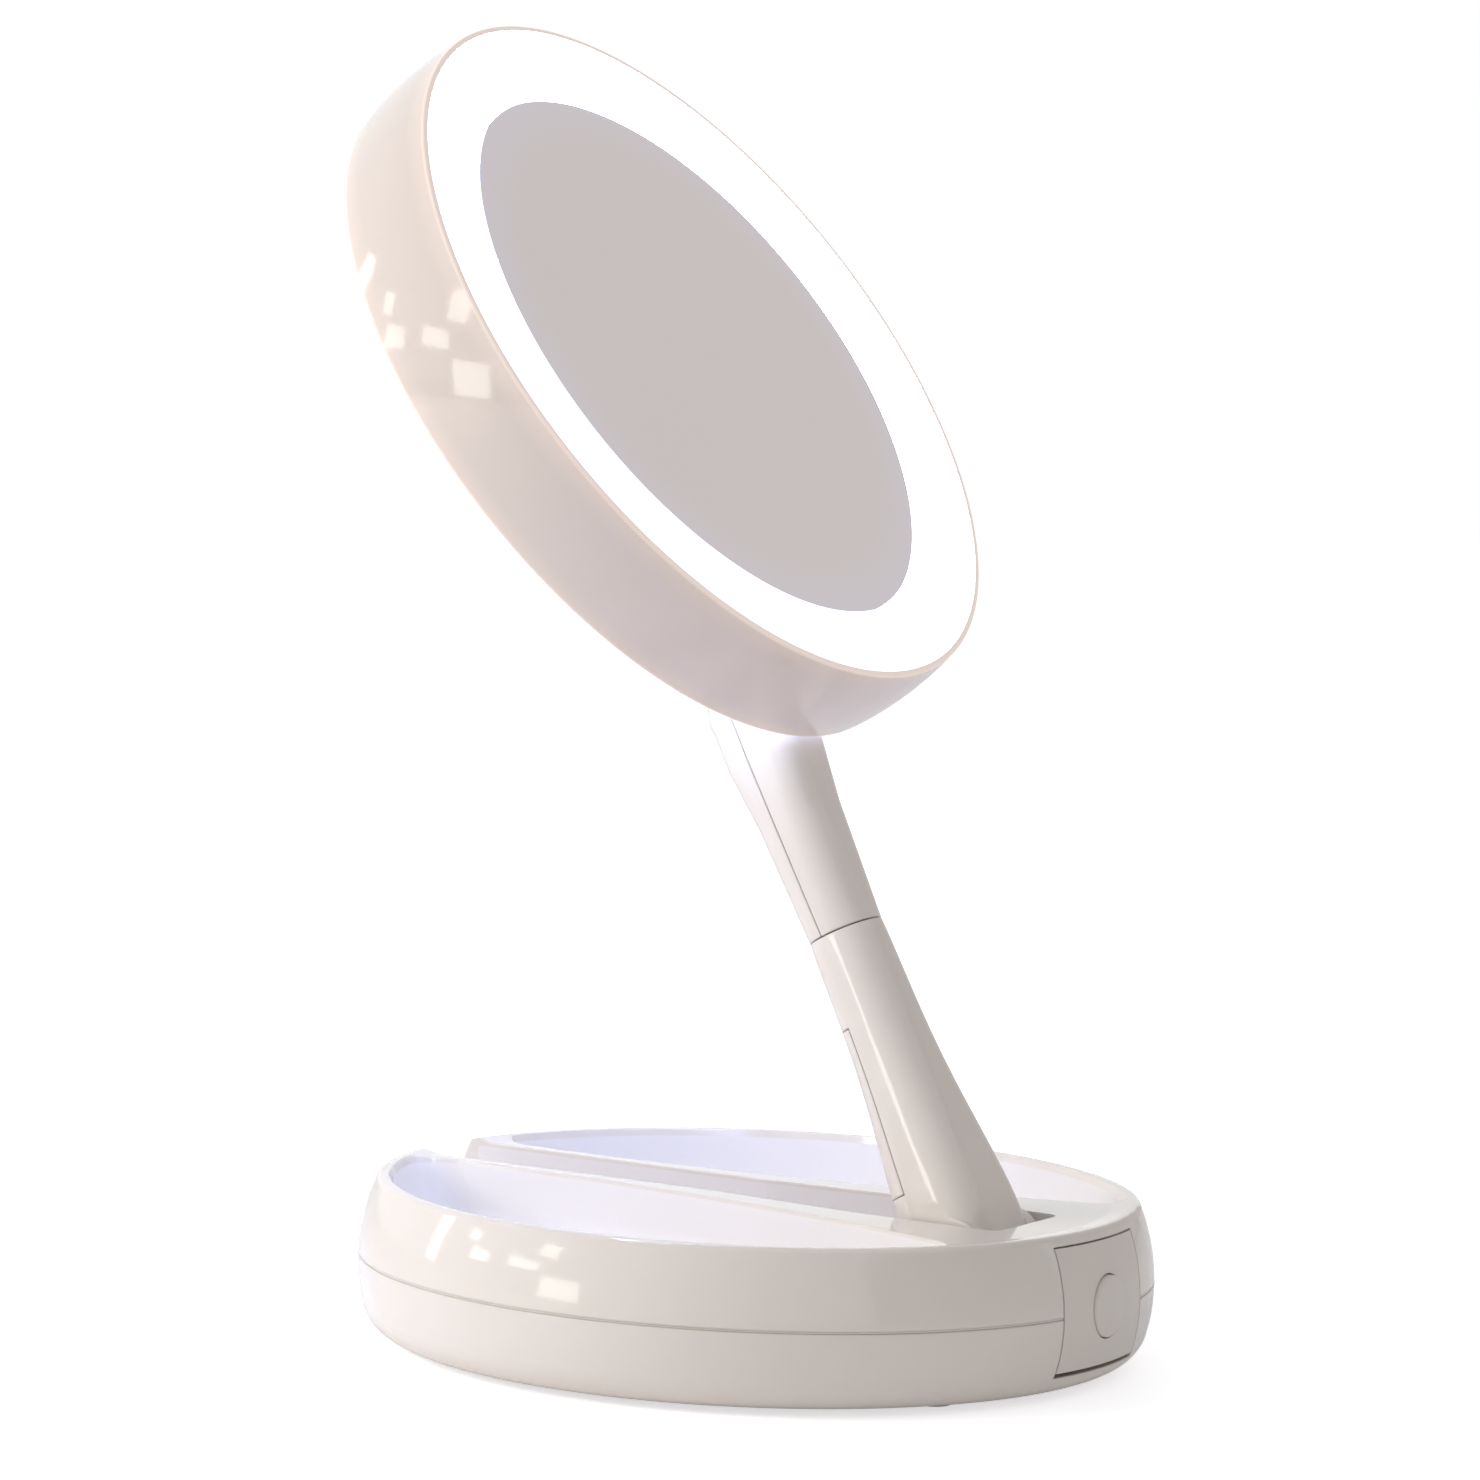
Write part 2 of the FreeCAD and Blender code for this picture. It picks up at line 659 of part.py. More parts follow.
def tray_solid(name, side, grow):
    """Make the space of one tray, grown on all sides; side is -1 or 1."""
    floor = f"at.tray_floor - {grow}"
    height = f"dim.tray_depth + {grow}"
    bowl = cone(f"{name}_bowl", f"at.tray_radius - dim.tray_slope + {grow}",
                f"at.tray_radius + {grow}", height, ("0", "0", floor))
    ridge = cone(f"{name}_ridge", f"dim.ridge_radius - dim.ridge_slope + {grow}",
                 f"dim.ridge_radius + {grow}", height,
                 (f"{side} * at.ridge_centre", "ridge_crown", floor))
    lens = common(f"{name}_lens", bowl, ridge)
    upright = rounded(f"{name}_corners", lens, "tray_corner_round", is_upright)
    return rounded(f"{name}_space", upright, "tray_floor_round", is_lowest)


def is_upright(edge):
    """Tell whether an edge climbs from a tray's floor to its rim."""
    return edge.BoundBox.ZLength > number("tray_depth") / 2


def is_lowest(edge):
    """Tell whether an edge lies in a tray's floor or in the wall under it."""
    level = edge.BoundBox
    return level.ZLength < number("seam_gap") and level.ZMax < number("tray_floor") + number("seam_gap")


def channel_solid(name, half_width, wide_half_width, front, back, low, high):
    """Make a prism along the arm's channel, wider round the hinge."""
    corners = [
        (f"-{wide_half_width}", front),
        (wide_half_width, front),
        (wide_half_width, "slot_wide_end"),
        (half_width, "slot_taper_back"),
        (half_width, back),
        (f"-{half_width}", back),
        (f"-{half_width}", "slot_taper_back"),
        (f"-{wide_half_width}", "slot_wide_end"),
    ]
    body = doc.addObject("PartDesign::Body", name)
    sketch = sketch_on(body, "XY_Plane", f"{name}_outline")
    sketch.setExpression("AttachmentOffset.Base.z", formula(low))
    draw(sketch, corners)
    feature = body.newObject("PartDesign::Pad", f"{name}_pad")
    feature.Profile = sketch
    feature.setExpression("Length", f"{formula(high)} - {formula(low)}")
    return body


SIDES = (-1, 1)
base_spots = [(east, north) for east in SIDES for north in SIDES]


def screw_spot(east, north):
    """Give the place of a base screw as two expressions."""
    row = "front" if north < 0 else "rear"
    return f"{east} * dim.{row}_screw_x", f"{north} * at.{row}_screw_y"


def foot_spot(east, north):
    """Give the place of a foot as two expressions."""
    return f"{east} * at.foot_x", f"{north} * at.foot_y"


def make_base_shells():
    """Make the two shells of the base and the button panel between them."""
    skin = base_skin("base_skin", "skin")
    cavity = base_skin("base_cavity", "cavity")
    panel_back = base_skin("panel_back", "panel")
    soft_skin = rounded("base_soft_skin", skin, "rim_round", is_rim_crest)
    below = cylinder("below_seam", "beyond_base", "seam_height", ("0", "0", "0"))
    above = cylinder("above_seam", "beyond_base", "rim_height", ("0", "0", "seam_height"))
    groove_ring = cylinder("groove_ring", "beyond_base", "seam_groove_height",
                           ("0", "0", "dim.seam_height - dim.seam_groove_height"))
    groove_core = cylinder("groove_core", "at.seam_radius - dim.seam_groove_depth", "seam_groove_height",
                           ("0", "0", "dim.seam_height - dim.seam_groove_height"))
    groove = cut("seam_groove", groove_ring, groove_core)
    panel_bay = box("panel_bay",
                    ("-dim.panel_half_width - dim.panel_gap", "-at.beyond_base",
                     "dim.panel_bottom - dim.panel_bottom_gap"),
                    ("dim.panel_half_width + dim.panel_gap", "dim.panel_bay_depth - dim.base_radius",
                     "dim.panel_top + dim.panel_gap"))
    make_lower_shell(common("lower_solid", soft_skin, below), cavity, groove, panel_bay)
    make_upper_shell(common("upper_solid", soft_skin, above), cavity, above, panel_bay)
    make_button_panel(soft_skin, panel_back)


def is_rim_crest(edge):
    """Tell whether an edge runs round the top of the base's rim."""
    level = edge.BoundBox
    return level.ZLength < number("seam_gap") and level.ZMax > number("rim_height") - number("seam_gap")


def make_lower_shell(solid, cavity, groove, panel_bay):
    """Make the tray-like lower shell with its posts, battery bays and board rests."""
    grown = [cut("lower_bowl", solid, cavity)]
    holes = [groove, panel_bay]
    for corner, (east, north) in enumerate(base_spots):
        x, y = screw_spot(east, north)
        grown.append(cylinder(f"lower_post_{corner}", "post_radius", "at.post_top - dim.foot_height",
                              (x, y, "foot_height")))
        holes.append(cylinder(f"lower_screw_bore_{corner}", "dim.base_screw_radius + dim.running_fit",
                              "at.post_top + dim.overrun", (x, y, "0")))
        holes.append(cylinder(f"lower_screw_well_{corner}", "dim.base_screw_head_radius + dim.gap",
                              "base_screw_seat", (x, y, "0")))
        x, y = foot_spot(east, north)
        holes.append(cylinder(f"foot_recess_{corner}", "foot_radius", "foot_full_height", (x, y, "0")))
    for side in SIDES:
        frame = cut(f"bay_frame_{side}", bay_box(f"bay_outer_{side}", side, "dim.bay_wall", "bay_wall_top"),
                    bay_box(f"bay_inner_{side}", side, "0", "dim.bay_wall_top + dim.overrun"))
        grown.append(frame)
        holes.append(bay_box(f"door_opening_{side}", side, "0", "floor_top", "0"))
        grown.append(cylinder(f"board_post_{side}", "board_post_radius", "board_post_height",
                              ("0", board_post_y(side), "floor_top")))
    grown.append(box("switch_rib", ("-dim.switch_board_width / 4", "switch_y", "floor_top"),
                     ("dim.switch_board_width / 4", "at.switch_board_y + dim.board_thickness + dim.wall / 2",
                      "switch_board_z")))
    holes.append(box("switch_notch", ("-dim.switch_board_width", "switch_y", "switch_board_z"),
                     ("switch_board_width", "switch_board_y", "rim_height")))
    grown.append(box("usb_shelf", ("dim.usb_offset - dim.usb_board_width / 2", "usb_board_y", "floor_top"),
                     ("dim.usb_offset + dim.usb_board_width / 2",
                      "at.usb_board_y + dim.usb_board_length", "usb_board_z")))
    holes.append(box("usb_window", ("dim.usb_offset - dim.usb_width / 2 - dim.gap", "usb_y",
                                    "at.usb_z - dim.seam_gap"),
                     ("dim.usb_offset + dim.usb_width / 2 + dim.gap", "beyond_base",
                      "at.usb_z + dim.usb_height + dim.gap")))
    whole = fuse("lower_shell_whole", *grown)
    keep(cut("lower_shell", whole, *holes), "base_lower_shell")


def board_post_y(side):
    """Give the y of a post under the control board as an expression."""
    middle = "dim.control_board_length / 2 - dim.control_board_front"
    return f"{middle} + {side} * (dim.control_board_length / 2 - dim.board_post_inset)"


def bay_box(name, side, grow, top, bottom="floor_top"):
    """Make a box round one battery bay, grown on its four sides."""
    middle = f"{side} * dim.bay_offset"
    return box(name, (f"{middle} - dim.bay_half_width - {grow}", f"-dim.bay_half_length - {grow}", bottom),
               (f"{middle} + dim.bay_half_width + {grow}", f"dim.bay_half_length + {grow}", top))


def make_upper_shell(solid, cavity, above, panel_bay):
    """Make the upper shell with its two trays and the channel between them."""
    trays = [tray_solid(f"tray_{side}", side, "0") for side in SIDES]
    blocks = [tray_solid(f"tray_block_{side}", side, "dim.wall") for side in SIDES]
    block = channel_solid("channel_block", "block_half_width", "block_wide_half_width",
                          "block_front", "block_back", "block_floor", "block_top")
    channel = channel_solid("channel", "channel_half_width", "hinge_slot_half_width",
                            "slot_end", "beyond_base", "channel_floor", "rim_height")
    soft_channel = rounded("soft_channel", channel, "slot_corner_round", is_slot_corner)
    open_top = box("channel_mouth", ("-channel_half_width", "0", "deck_height"),
                   ("channel_half_width", "beyond_base", "dim.rim_height + dim.overrun"))
    bosses = []
    holes = []
    for corner, (east, north) in enumerate(base_spots):
        x, y = screw_spot(east, north)
        bosses.append(cylinder(f"upper_boss_{corner}", "post_radius", "at.block_top - dim.seam_height",
                               (x, y, "seam_height")))
        holes.append(cylinder(f"upper_screw_bore_{corner}", "dim.base_screw_radius + dim.running_fit",
                              "base_screw_reach", (x, y, "seam_height")))
    hollow = cut("upper_hollow", common("upper_cavity", cavity, above), *blocks, block, *bosses)
    axle_hole = cylinder("axle_hole", "dim.hinge_axle_radius + dim.running_fit",
                         "2 * at.block_wide_half_width + dim.overrun",
                         ("-at.block_wide_half_width - dim.overrun / 2", "arm_hinge_y", "arm_hinge_height"),
                         ALONG_X)
    whole = fuse("upper_shell_whole", cut("upper_bowl", solid, hollow), block)
    keep(cut("upper_shell", whole, *trays, soft_channel, open_top, panel_bay, axle_hole, *holes),
         "base_upper_shell")


def is_slot_corner(edge):
    """Tell whether an edge is an upright front corner of the hinge slot."""
    level = edge.BoundBox
    return level.ZLength > number("tray_depth") / 2 and level.YMax < number("arm_hinge_y")


def make_button_panel(soft_skin, panel_back):
    """Make the panel let into the front of the base, and the button in it."""
    slab = box("panel_slab", ("-panel_half_width", "-base_radius", "panel_bottom"),
               ("panel_half_width", "dim.panel_bay_depth - dim.base_radius", "panel_top"))
    front = common("panel_front", soft_skin, slab)
    bore = cylinder("panel_bore", "dim.button_radius + dim.gap", "base_radius",
                    ("0", "-at.beyond_base", "button_height"), ALONG_Y)
    keep(cut("panel", front, panel_back, bore), "button_panel")
    button = turned("button", "XY_Plane", [
        ("0", "button_stem_y"),
        ("0", "-button_proud", "button_dome_radius", 1),
        ("button_radius", "-button_edge_proud"),
        ("button_radius", "button_flange_setback"),
        ("button_flange_radius", "button_flange_setback"),
        ("button_flange_radius", "button_back_y"),
        ("button_stem_radius", "button_back_y"),
        ("button_stem_radius", "button_stem_y"),
    ])
    keep(button, "power_button", ("0", "-base_radius", "button_height"))


def make_base_circuit():
    """Make the switch, the boards and the charging socket inside the base."""
    half = "dim.switch_side / 2"
    case = box("switch_case", (f"-{half}", "switch_y", f"dim.button_height - {half}"),
               (half, "switch_board_y", f"dim.button_height + {half}"))
    plunger = cylinder("switch_plunger", "plunger_radius", "plunger_length",
                       ("0", "plunger_y", "button_height"), ALONG_Y)
    keep(fuse("switch", case, plunger), "push_switch")
    keep(box("switch_card", ("-dim.switch_board_width / 2", "switch_board_y", "switch_board_z"),
             ("dim.switch_board_width / 2", "at.switch_board_y + dim.board_thickness",
              "at.switch_board_z + dim.switch_board_height")), "switch_board")
    front = "-dim.control_board_front"
    keep(box("control_card", ("-dim.control_board_width / 2", front, "control_board_z"),
             ("dim.control_board_width / 2", f"dim.control_board_length {front}",
              "at.control_board_z + dim.board_thickness")), "control_board")
    middle = f"dim.control_board_length / 2 {front}"
    chip_z = "at.control_board_z + dim.board_thickness"
    keep(box("chip", ("-dim.chip_side / 2", f"{middle} - dim.chip_side / 2", chip_z),
             ("dim.chip_side / 2", f"{middle} + dim.chip_side / 2", f"{chip_z} + dim.chip_height")),
         "light_driver_chip")
    keep(box("usb_card", ("dim.usb_offset - dim.usb_board_width / 2", "usb_board_y", "usb_board_z"),
             ("dim.usb_offset + dim.usb_board_width / 2", "at.usb_board_y + dim.usb_board_length", "usb_z")),
         "socket_board")
    jacket = box("usb_jacket",
                 ("dim.usb_offset - dim.usb_width / 2", "at.usb_front - dim.usb_length", "usb_z"),
                 ("dim.usb_offset + dim.usb_width / 2", "usb_front", "at.usb_z + dim.usb_height"))
    mouth = box("usb_mouth", ("dim.usb_offset - dim.usb_width / 2 + dim.contact_thickness", "usb_y",
                              "at.usb_z + dim.contact_thickness"),
                ("dim.usb_offset + dim.usb_width / 2 - dim.contact_thickness", "beyond_base",
                 "at.usb_z + dim.usb_height - dim.contact_thickness"))
    keep(cut("usb", jacket, mouth), "charging_socket")


def make_batteries():
    """Make the cells, their springs and contacts, and the two doors under them."""
    cells, springs, plates = [], [], []
    for side in SIDES:
        for column in SIDES:
            tag = f"{side}_{column}"
            x = f"{side} * dim.bay_offset + {column} * dim.cell_pitch / 2"
            can = cylinder(f"cell_can_{tag}", "cell_radius", "cell_length",
                           (x, "cell_start", "cell_z"), ALONG_Y)
            tip = cylinder(f"cell_tip_{tag}", "cell_tip_radius", "cell_tip_length",
                           (x, "at.cell_end - dim.cell_tip_length", "cell_z"), ALONG_Y)
            cells.append(fuse(f"cell_{tag}", can, tip))
            springs.append(cone(f"spring_{tag}", "battery_spring_radius", "battery_spring_tip_radius",
                                "spring_length", (x, "-cell_end", "cell_z"), ALONG_Y))
            for end in SIDES:
                inner = f"{end} * dim.bay_half_length - {max(end, 0)} * dim.contact_thickness"
                plates.append(box(f"contact_{tag}_{end}",
                                  (f"{x} - dim.contact_height / 2", inner,
                                   "at.cell_z - dim.contact_height / 2"),
                                  (f"{x} + dim.contact_height / 2", f"{inner} + dim.contact_thickness",
                                   "at.cell_z + dim.contact_height / 2")))
        middle = f"{side} * dim.bay_offset"
        front = "-dim.bay_half_length + dim.door_grip_length"
        plate = bay_box(f"door_plate_{side}", side, "(-dim.door_gap)", "floor_top", "foot_height")
        grip = box(f"door_grip_{side}",
                   (f"{middle} - dim.door_grip_half_width", front, "0"),
                   (f"{middle} + dim.door_grip_half_width", f"{front} + dim.door_grip_length",
                    "dim.foot_height + dim.door_grip_depth"))
        keep(cut(f"door_{side}", plate, grip), f"battery_door_{'left' if side < 0 else 'right'}")
    keep(group("cells", cells), "battery_cells")
    keep(group("springs", springs), "battery_springs")
    keep(group("contacts", plates), "battery_contacts")


def make_base_fasteners():
    """Make the rubber feet and the screws that hold the base shells together."""
    feet, screws = [], []
    for corner, (east, north) in enumerate(base_spots):
        x, y = foot_spot(east, north)
        feet.append(cylinder(f"foot_{corner}", "foot_radius", "foot_full_height", (x, y, "0")))
        x, y = screw_spot(east, north)
        head = cylinder(f"screw_head_{corner}", "base_screw_head_radius", "base_screw_head_height",
                        (x, y, "dim.base_screw_seat - dim.base_screw_head_height"))
        shank = cylinder(f"screw_shank_{corner}", "base_screw_radius", "at.screw_top - dim.base_screw_seat",
                         (x, y, "base_screw_seat"))
        screws.append(fuse(f"screw_{corner}", head, shank))
    keep(group("feet", feet), "rubber_feet")
    keep(group("base_screw_set", screws), "base_screws")


def make_arm_hinge():
    """Make the axle at the foot of the arm, its two brackets and its friction washers."""
    spot = ("arm_hinge_y", "arm_hinge_height")
    rod = cylinder("hinge_pin", "hinge_axle_radius", "2 * at.bracket_outer",
                   ("-bracket_outer", *spot), ALONG_X)
    keep(rod, "hinge_axle")
    plates, washers = [], []
    for side in SIDES:
        inner = "bracket_inner" if side > 0 else "-bracket_outer"
        outer = "bracket_outer" if side > 0 else "-bracket_inner"
        plate = box(f"bracket_plate_{side}",
                    (inner, "at.arm_hinge_y - dim.hinge_bracket_half_depth", "floor_top"),
                    (outer, "at.arm_hinge_y + dim.hinge_bracket_half_depth",
                     "at.floor_top + at.bracket_height"))
        hole = cylinder(f"bracket_hole_{side}", "dim.hinge_axle_radius + dim.running_fit",
                        "2 * at.bracket_outer", ("-bracket_outer", *spot), ALONG_X)
        plates.append(cut(f"bracket_{side}", plate, hole))
        start = "washer_inner" if side > 0 else "-at.washer_inner - at.washer_thickness"
        disc = cylinder(f"washer_disc_{side}", "hinge_washer_radius", "washer_thickness",
                        (start, *spot), ALONG_X)
        eye = cylinder(f"washer_eye_{side}", "dim.hinge_axle_radius + dim.running_fit", "washer_thickness",
                       (start, *spot), ALONG_X)
        washers.append(cut(f"washer_{side}", disc, eye))
    keep(group("brackets", plates), "hinge_brackets")
    keep(group("hinge_washer_pair", washers), "hinge_washers")


def make_lower_arm():
    """Make the lower arm with its cover, and the swivel in its top."""
    body = lofted("lower_arm_form", [
        ("0", "root_half_width", "root_radius", "root_corner"),
        ("root_height", "root_half_width", "root_radius", "root_corner"),
        ("calf_height", "calf_half_width", "calf_half_depth", "calf_corner"),
        ("shin_height", "shin_half_width", "shin_half_depth", "shin_corner"),
        ("lower_arm_top", "waist_radius", "waist_radius", "waist_corner"),
    ])
    root = cylinder("arm_root", "root_radius", "2 * dim.root_half_width",
                    ("-root_half_width", "0", "0"), ALONG_X)
    bore = cylinder("lower_arm_bore", "arm_bore", "at.lower_bearing_bottom - dim.lower_bore_bottom",
                    ("0", "0", "lower_bore_bottom"))
    bearing = cylinder("lower_bearing", "dim.spigot_radius + dim.running_fit", "dim.swivel_bearing_length"
                       " + dim.overrun", ("0", "0", "lower_bearing_bottom"))
    axle_bore = cylinder("root_bore", "dim.hinge_axle_radius + dim.running_fit", "2 * dim.root_half_width",
                         ("-root_half_width", "0", "0"), ALONG_X)
    space = cover_box("cover_space", "dim.seam_gap / 2")
    reach = "2 * dim.root_radius"
    flanks = box("lower_arm_flanks", ("-root_half_width", f"-{reach}", f"-{reach}"),
                 ("root_half_width", reach, "arm_length"))
    whole = fuse("lower_arm_whole", common("lower_arm_trim", body, flanks), root)
    on_arm(cut("lower_arm", whole, bore, bearing, axle_bore, space), "lower_arm_shell")
    cover = common("lower_cover_form", body, cover_box("cover_zone", "-dim.seam_gap / 2"))
    on_arm(cut("lower_cover", cover, bore), "lower_arm_cover")
    on_arm(group("lower_wires", wire_pair("lower_wire", "lower_bore_bottom", "spigot_bottom")),
           "lower_arm_wires")


def cover_box(name, grow):
    """Make a box round the back cover of the lower arm."""
    reach = "2 * dim.root_half_width"
    return box(name, (f"-{reach}", f"dim.cover_plane - ({grow})", f"dim.cover_bottom - ({grow})"),
               (reach, reach, f"dim.cover_top + ({grow})"))


def wire_pair(name, low, high):
    """Make two lamp wires that lie along the front wall of the arm's bore."""
    wall = "sqrt(dim.arm_bore ^ 2 - (dim.wire_spacing + dim.wire_radius) ^ 2)"
    depth = f"dim.wire_radius + dim.seam_gap - {wall}"
    wires = []
    for side in SIDES:
        wires.append(cylinder(f"{name}_{side}", "wire_radius", f"{formula(high)} - {formula(low)}",
                              (f"{side} * dim.wire_spacing", depth, low)))
    return wires


def make_swivel():
    """Make the hollow spigot that joins the two halves of the arm, with its washer and clip."""
    stem = cylinder("spigot_stem", "spigot_radius", "at.spigot_top - at.spigot_bottom",
                    ("0", "0", "spigot_bottom"))
    flange = cylinder("spigot_flange", "spigot_flange_radius", "spigot_flange_thickness",
                      ("0", "0", "spigot_flange_bottom"))
    hollow = cylinder("spigot_hollow", "spigot_bore", "at.spigot_top - at.spigot_bottom",
                      ("0", "0", "spigot_bottom"))
    on_arm(cut("spigot", fuse("spigot_solid", stem, flange), hollow), "swivel_spigot")
    for label, thickness, bottom in (
        ("swivel_washer", "swivel_washer_thickness", "clip_top"),
        ("swivel_clip", "swivel_clip_thickness", "at.clip_top - dim.swivel_clip_thickness"),
    ):
        disc = cylinder(f"{label}_disc", "spigot_flange_radius", thickness, ("0", "0", bottom))
        eye = cylinder(f"{label}_eye", "dim.spigot_radius + dim.running_fit", thickness, ("0", "0", bottom))
        on_arm(cut(f"{label}_ring", disc, eye), label)


def make_upper_arm():
    """Make the two half shells of the upper arm, with the fork at their top."""
    body = lofted("upper_arm_form", [
        ("upper_arm_bottom", "waist_radius", "waist_radius", "waist_corner"),
        ("neck_height", "neck_half_width", "neck_half_depth", "neck_corner"),
        ("knuckle_height", "knuckle_half_width", "knuckle_radius", "knuckle_corner"),
        ("arm_length", "knuckle_half_width", "knuckle_radius", "knuckle_corner"),
    ], straight=True)
    barrel = cylinder("knuckle", "knuckle_radius", "2 * dim.knuckle_half_width",
                      ("-knuckle_half_width", "0", "arm_length"), ALONG_X)
    crown = rounded("soft_knuckle", barrel, "knuckle_round", is_barrel_end)
    tools = [
        cylinder("upper_arm_bore", "arm_bore", "at.upper_bore_top - at.upper_bearing_top",
                 ("0", "0", "upper_bearing_top")),
        cylinder("upper_bearing", "dim.spigot_radius + dim.running_fit", "dim.swivel_bearing_length"
                 " + dim.overrun", ("0", "0", "at.upper_arm_bottom - dim.overrun / 2")),
        box("fork_slot", ("-fork_half_width", "-2 * dim.knuckle_radius", "fork_floor"),
            ("fork_half_width", "2 * dim.knuckle_radius", "dim.arm_length + 2 * dim.knuckle_radius")),
        cylinder("pin_hole", "dim.tilt_pin_radius + dim.running_fit",
                 "2 * dim.tilt_pin_half_length + 2 * dim.running_fit",
                 ("-dim.tilt_pin_half_length - dim.running_fit", "0", "arm_length"), ALONG_X),
    ]
    screws = []
    height = "arm_screw_height"
    for side in SIDES:
        x = f"{side} * dim.arm_screw_offset"
        tools.append(cylinder(f"arm_screw_bore_{side}", "dim.arm_screw_radius + dim.running_fit",
                              "2 * dim.arm_screw_reach", (x, "-arm_screw_reach", height), ALONG_Y))
        tools.append(cylinder(f"arm_screw_well_{side}", "dim.arm_screw_head_radius + dim.seam_gap",
                              "waist_radius", (x, "arm_screw_reach", height), ALONG_Y))
        shank = cylinder(f"arm_screw_shank_{side}", "arm_screw_radius", "2 * dim.arm_screw_reach",
                         (x, "-arm_screw_reach", height), ALONG_Y)
        head = cylinder(f"arm_screw_head_{side}", "arm_screw_head_radius", "arm_screw_head_height",
                        (x, "arm_screw_reach", height), ALONG_Y)
        screws.append(fuse(f"arm_screw_{side}", shank, head))
    whole = cut("upper_arm", fuse("upper_arm_whole", body, crown), *tools)
    reach = "2 * dim.knuckle_half_width"
    top = "dim.arm_length + 2 * dim.knuckle_radius"
    front = box("front_zone", (f"-{reach}", f"-{reach}", "waist_height"),
                (reach, "dim.upper_split - dim.seam_gap / 2", top))
    back = box("back_zone", (f"-{reach}", "dim.upper_split + dim.seam_gap / 2", "waist_height"),
               (reach, reach, top))
    on_arm(common("upper_front", whole, front), "upper_arm_front_shell")
    on_arm(common("upper_back", whole, back), "upper_arm_back_shell")
    on_arm(group("arm_screw_pair", screws), "upper_arm_screws")
    on_arm(group("upper_wires", wire_pair("upper_wire", "spigot_top", "upper_bore_top")), "upper_arm_wires")


def is_barrel_end(edge):
    """Tell whether an edge is a round end of the knuckle."""
    return edge.BoundBox.XLength < number("seam_gap")


def make_tilt_pin():
    """Make the pin through the fork and the washers on each side of the tongue."""
    on_arm(cylinder("tilt_rod", "tilt_pin_radius", "2 * dim.tilt_pin_half_length",
                    ("-tilt_pin_half_length", "0", "arm_length"), ALONG_X), "tilt_pin")
    washers = []
    for side in SIDES:
        middle = "(dim.fork_half_width + dim.tongue_half_width) / 2"
        start = f"{side} * {middle} - dim.tilt_washer_thickness / 2"
        disc = cylinder(f"tilt_disc_{side}", "tilt_washer_radius", "tilt_washer_thickness",
                        (start, "0", "arm_length"), ALONG_X)
        eye = cylinder(f"tilt_eye_{side}", "dim.tilt_pin_radius + dim.running_fit", "tilt_washer_thickness",
                       (start, "0", "arm_length"), ALONG_X)
        washers.append(cut(f"tilt_washer_{side}", disc, eye))
    on_arm(group("tilt_washer_pair", washers), "tilt_washers")


def ring(name, inner, outer, low, high):
    """Make a flat ring about the y axis between two distances from the head's middle."""
    disc = cylinder(f"{name}_disc", outer, f"({resolve(high)}) - ({resolve(low)})", ("0", low, "0"), ALONG_Y)
    hole = cylinder(f"{name}_hole", inner, f"({resolve(high)}) - ({resolve(low)})", ("0", low, "0"), ALONG_Y)
    return cut(name, disc, hole)


def make_head_rim():
    """Make the head's side band with the web that parts its two lit faces."""
    band = turned("head_band", "XY_Plane", [
        ("head_inner_radius", "-head_half"),
        ("head_edge_radius", "-head_half", "head_barrel", 1),
        ("head_edge_radius", "head_half"),
        ("head_inner_radius", "head_half"),
    ])
    soft = rounded("head_soft_band", band, "head_edge_round", is_band_edge)
    web = ring("head_web", "web_hole_radius", "at.head_inner_radius + dim.gap", "-web_half", "web_half")
    ledges = [
        ring("front_ledge", "ledge_radius", "at.head_inner_radius + dim.gap", "-ring_back", "-ledge_y"),
        ring("back_ledge", "ledge_radius", "at.head_inner_radius + dim.gap", "ledge_y", "ring_back"),
    ]
    holes = [bracket_screw_hole(side) for side in SIDES]
    on_head(cut("head_rim_whole", fuse("head_rim_solid", soft, web, *ledges), *holes), "head_rim")


def is_band_edge(edge):
    """Tell whether an edge is an outer edge of the head's side band."""
    level = edge.BoundBox
    outer = level.XMax > number("head_inner_radius") + number("seam_gap")
    return outer and level.YLength < number("seam_gap")


def bracket_screw_hole(side):
    """Make the hole of one bracket screw."""
    return cylinder(f"bracket_bore_{side}", "dim.bracket_screw_radius + dim.running_fit",
                    "dim.bracket_screw_reach + 2 * dim.web_thickness",
                    (f"{side} * dim.bracket_screw_spacing", "-web_thickness", bracket_screw_z()), ALONG_Y)


def bracket_screw_z():
    """Give the height of the bracket screws as an expression."""
    return "(at.tongue_bottom + at.tongue_seat_top) / 2"


def bracket_gate(name, bottom, top):
    """Make the space that the bracket takes in the head's lower edge."""
    wide = "dim.tongue_half_width + dim.bracket_clearance"
    return box(name, (f"-({wide})", "-head_thickness", bottom), (wide, "head_thickness", top))


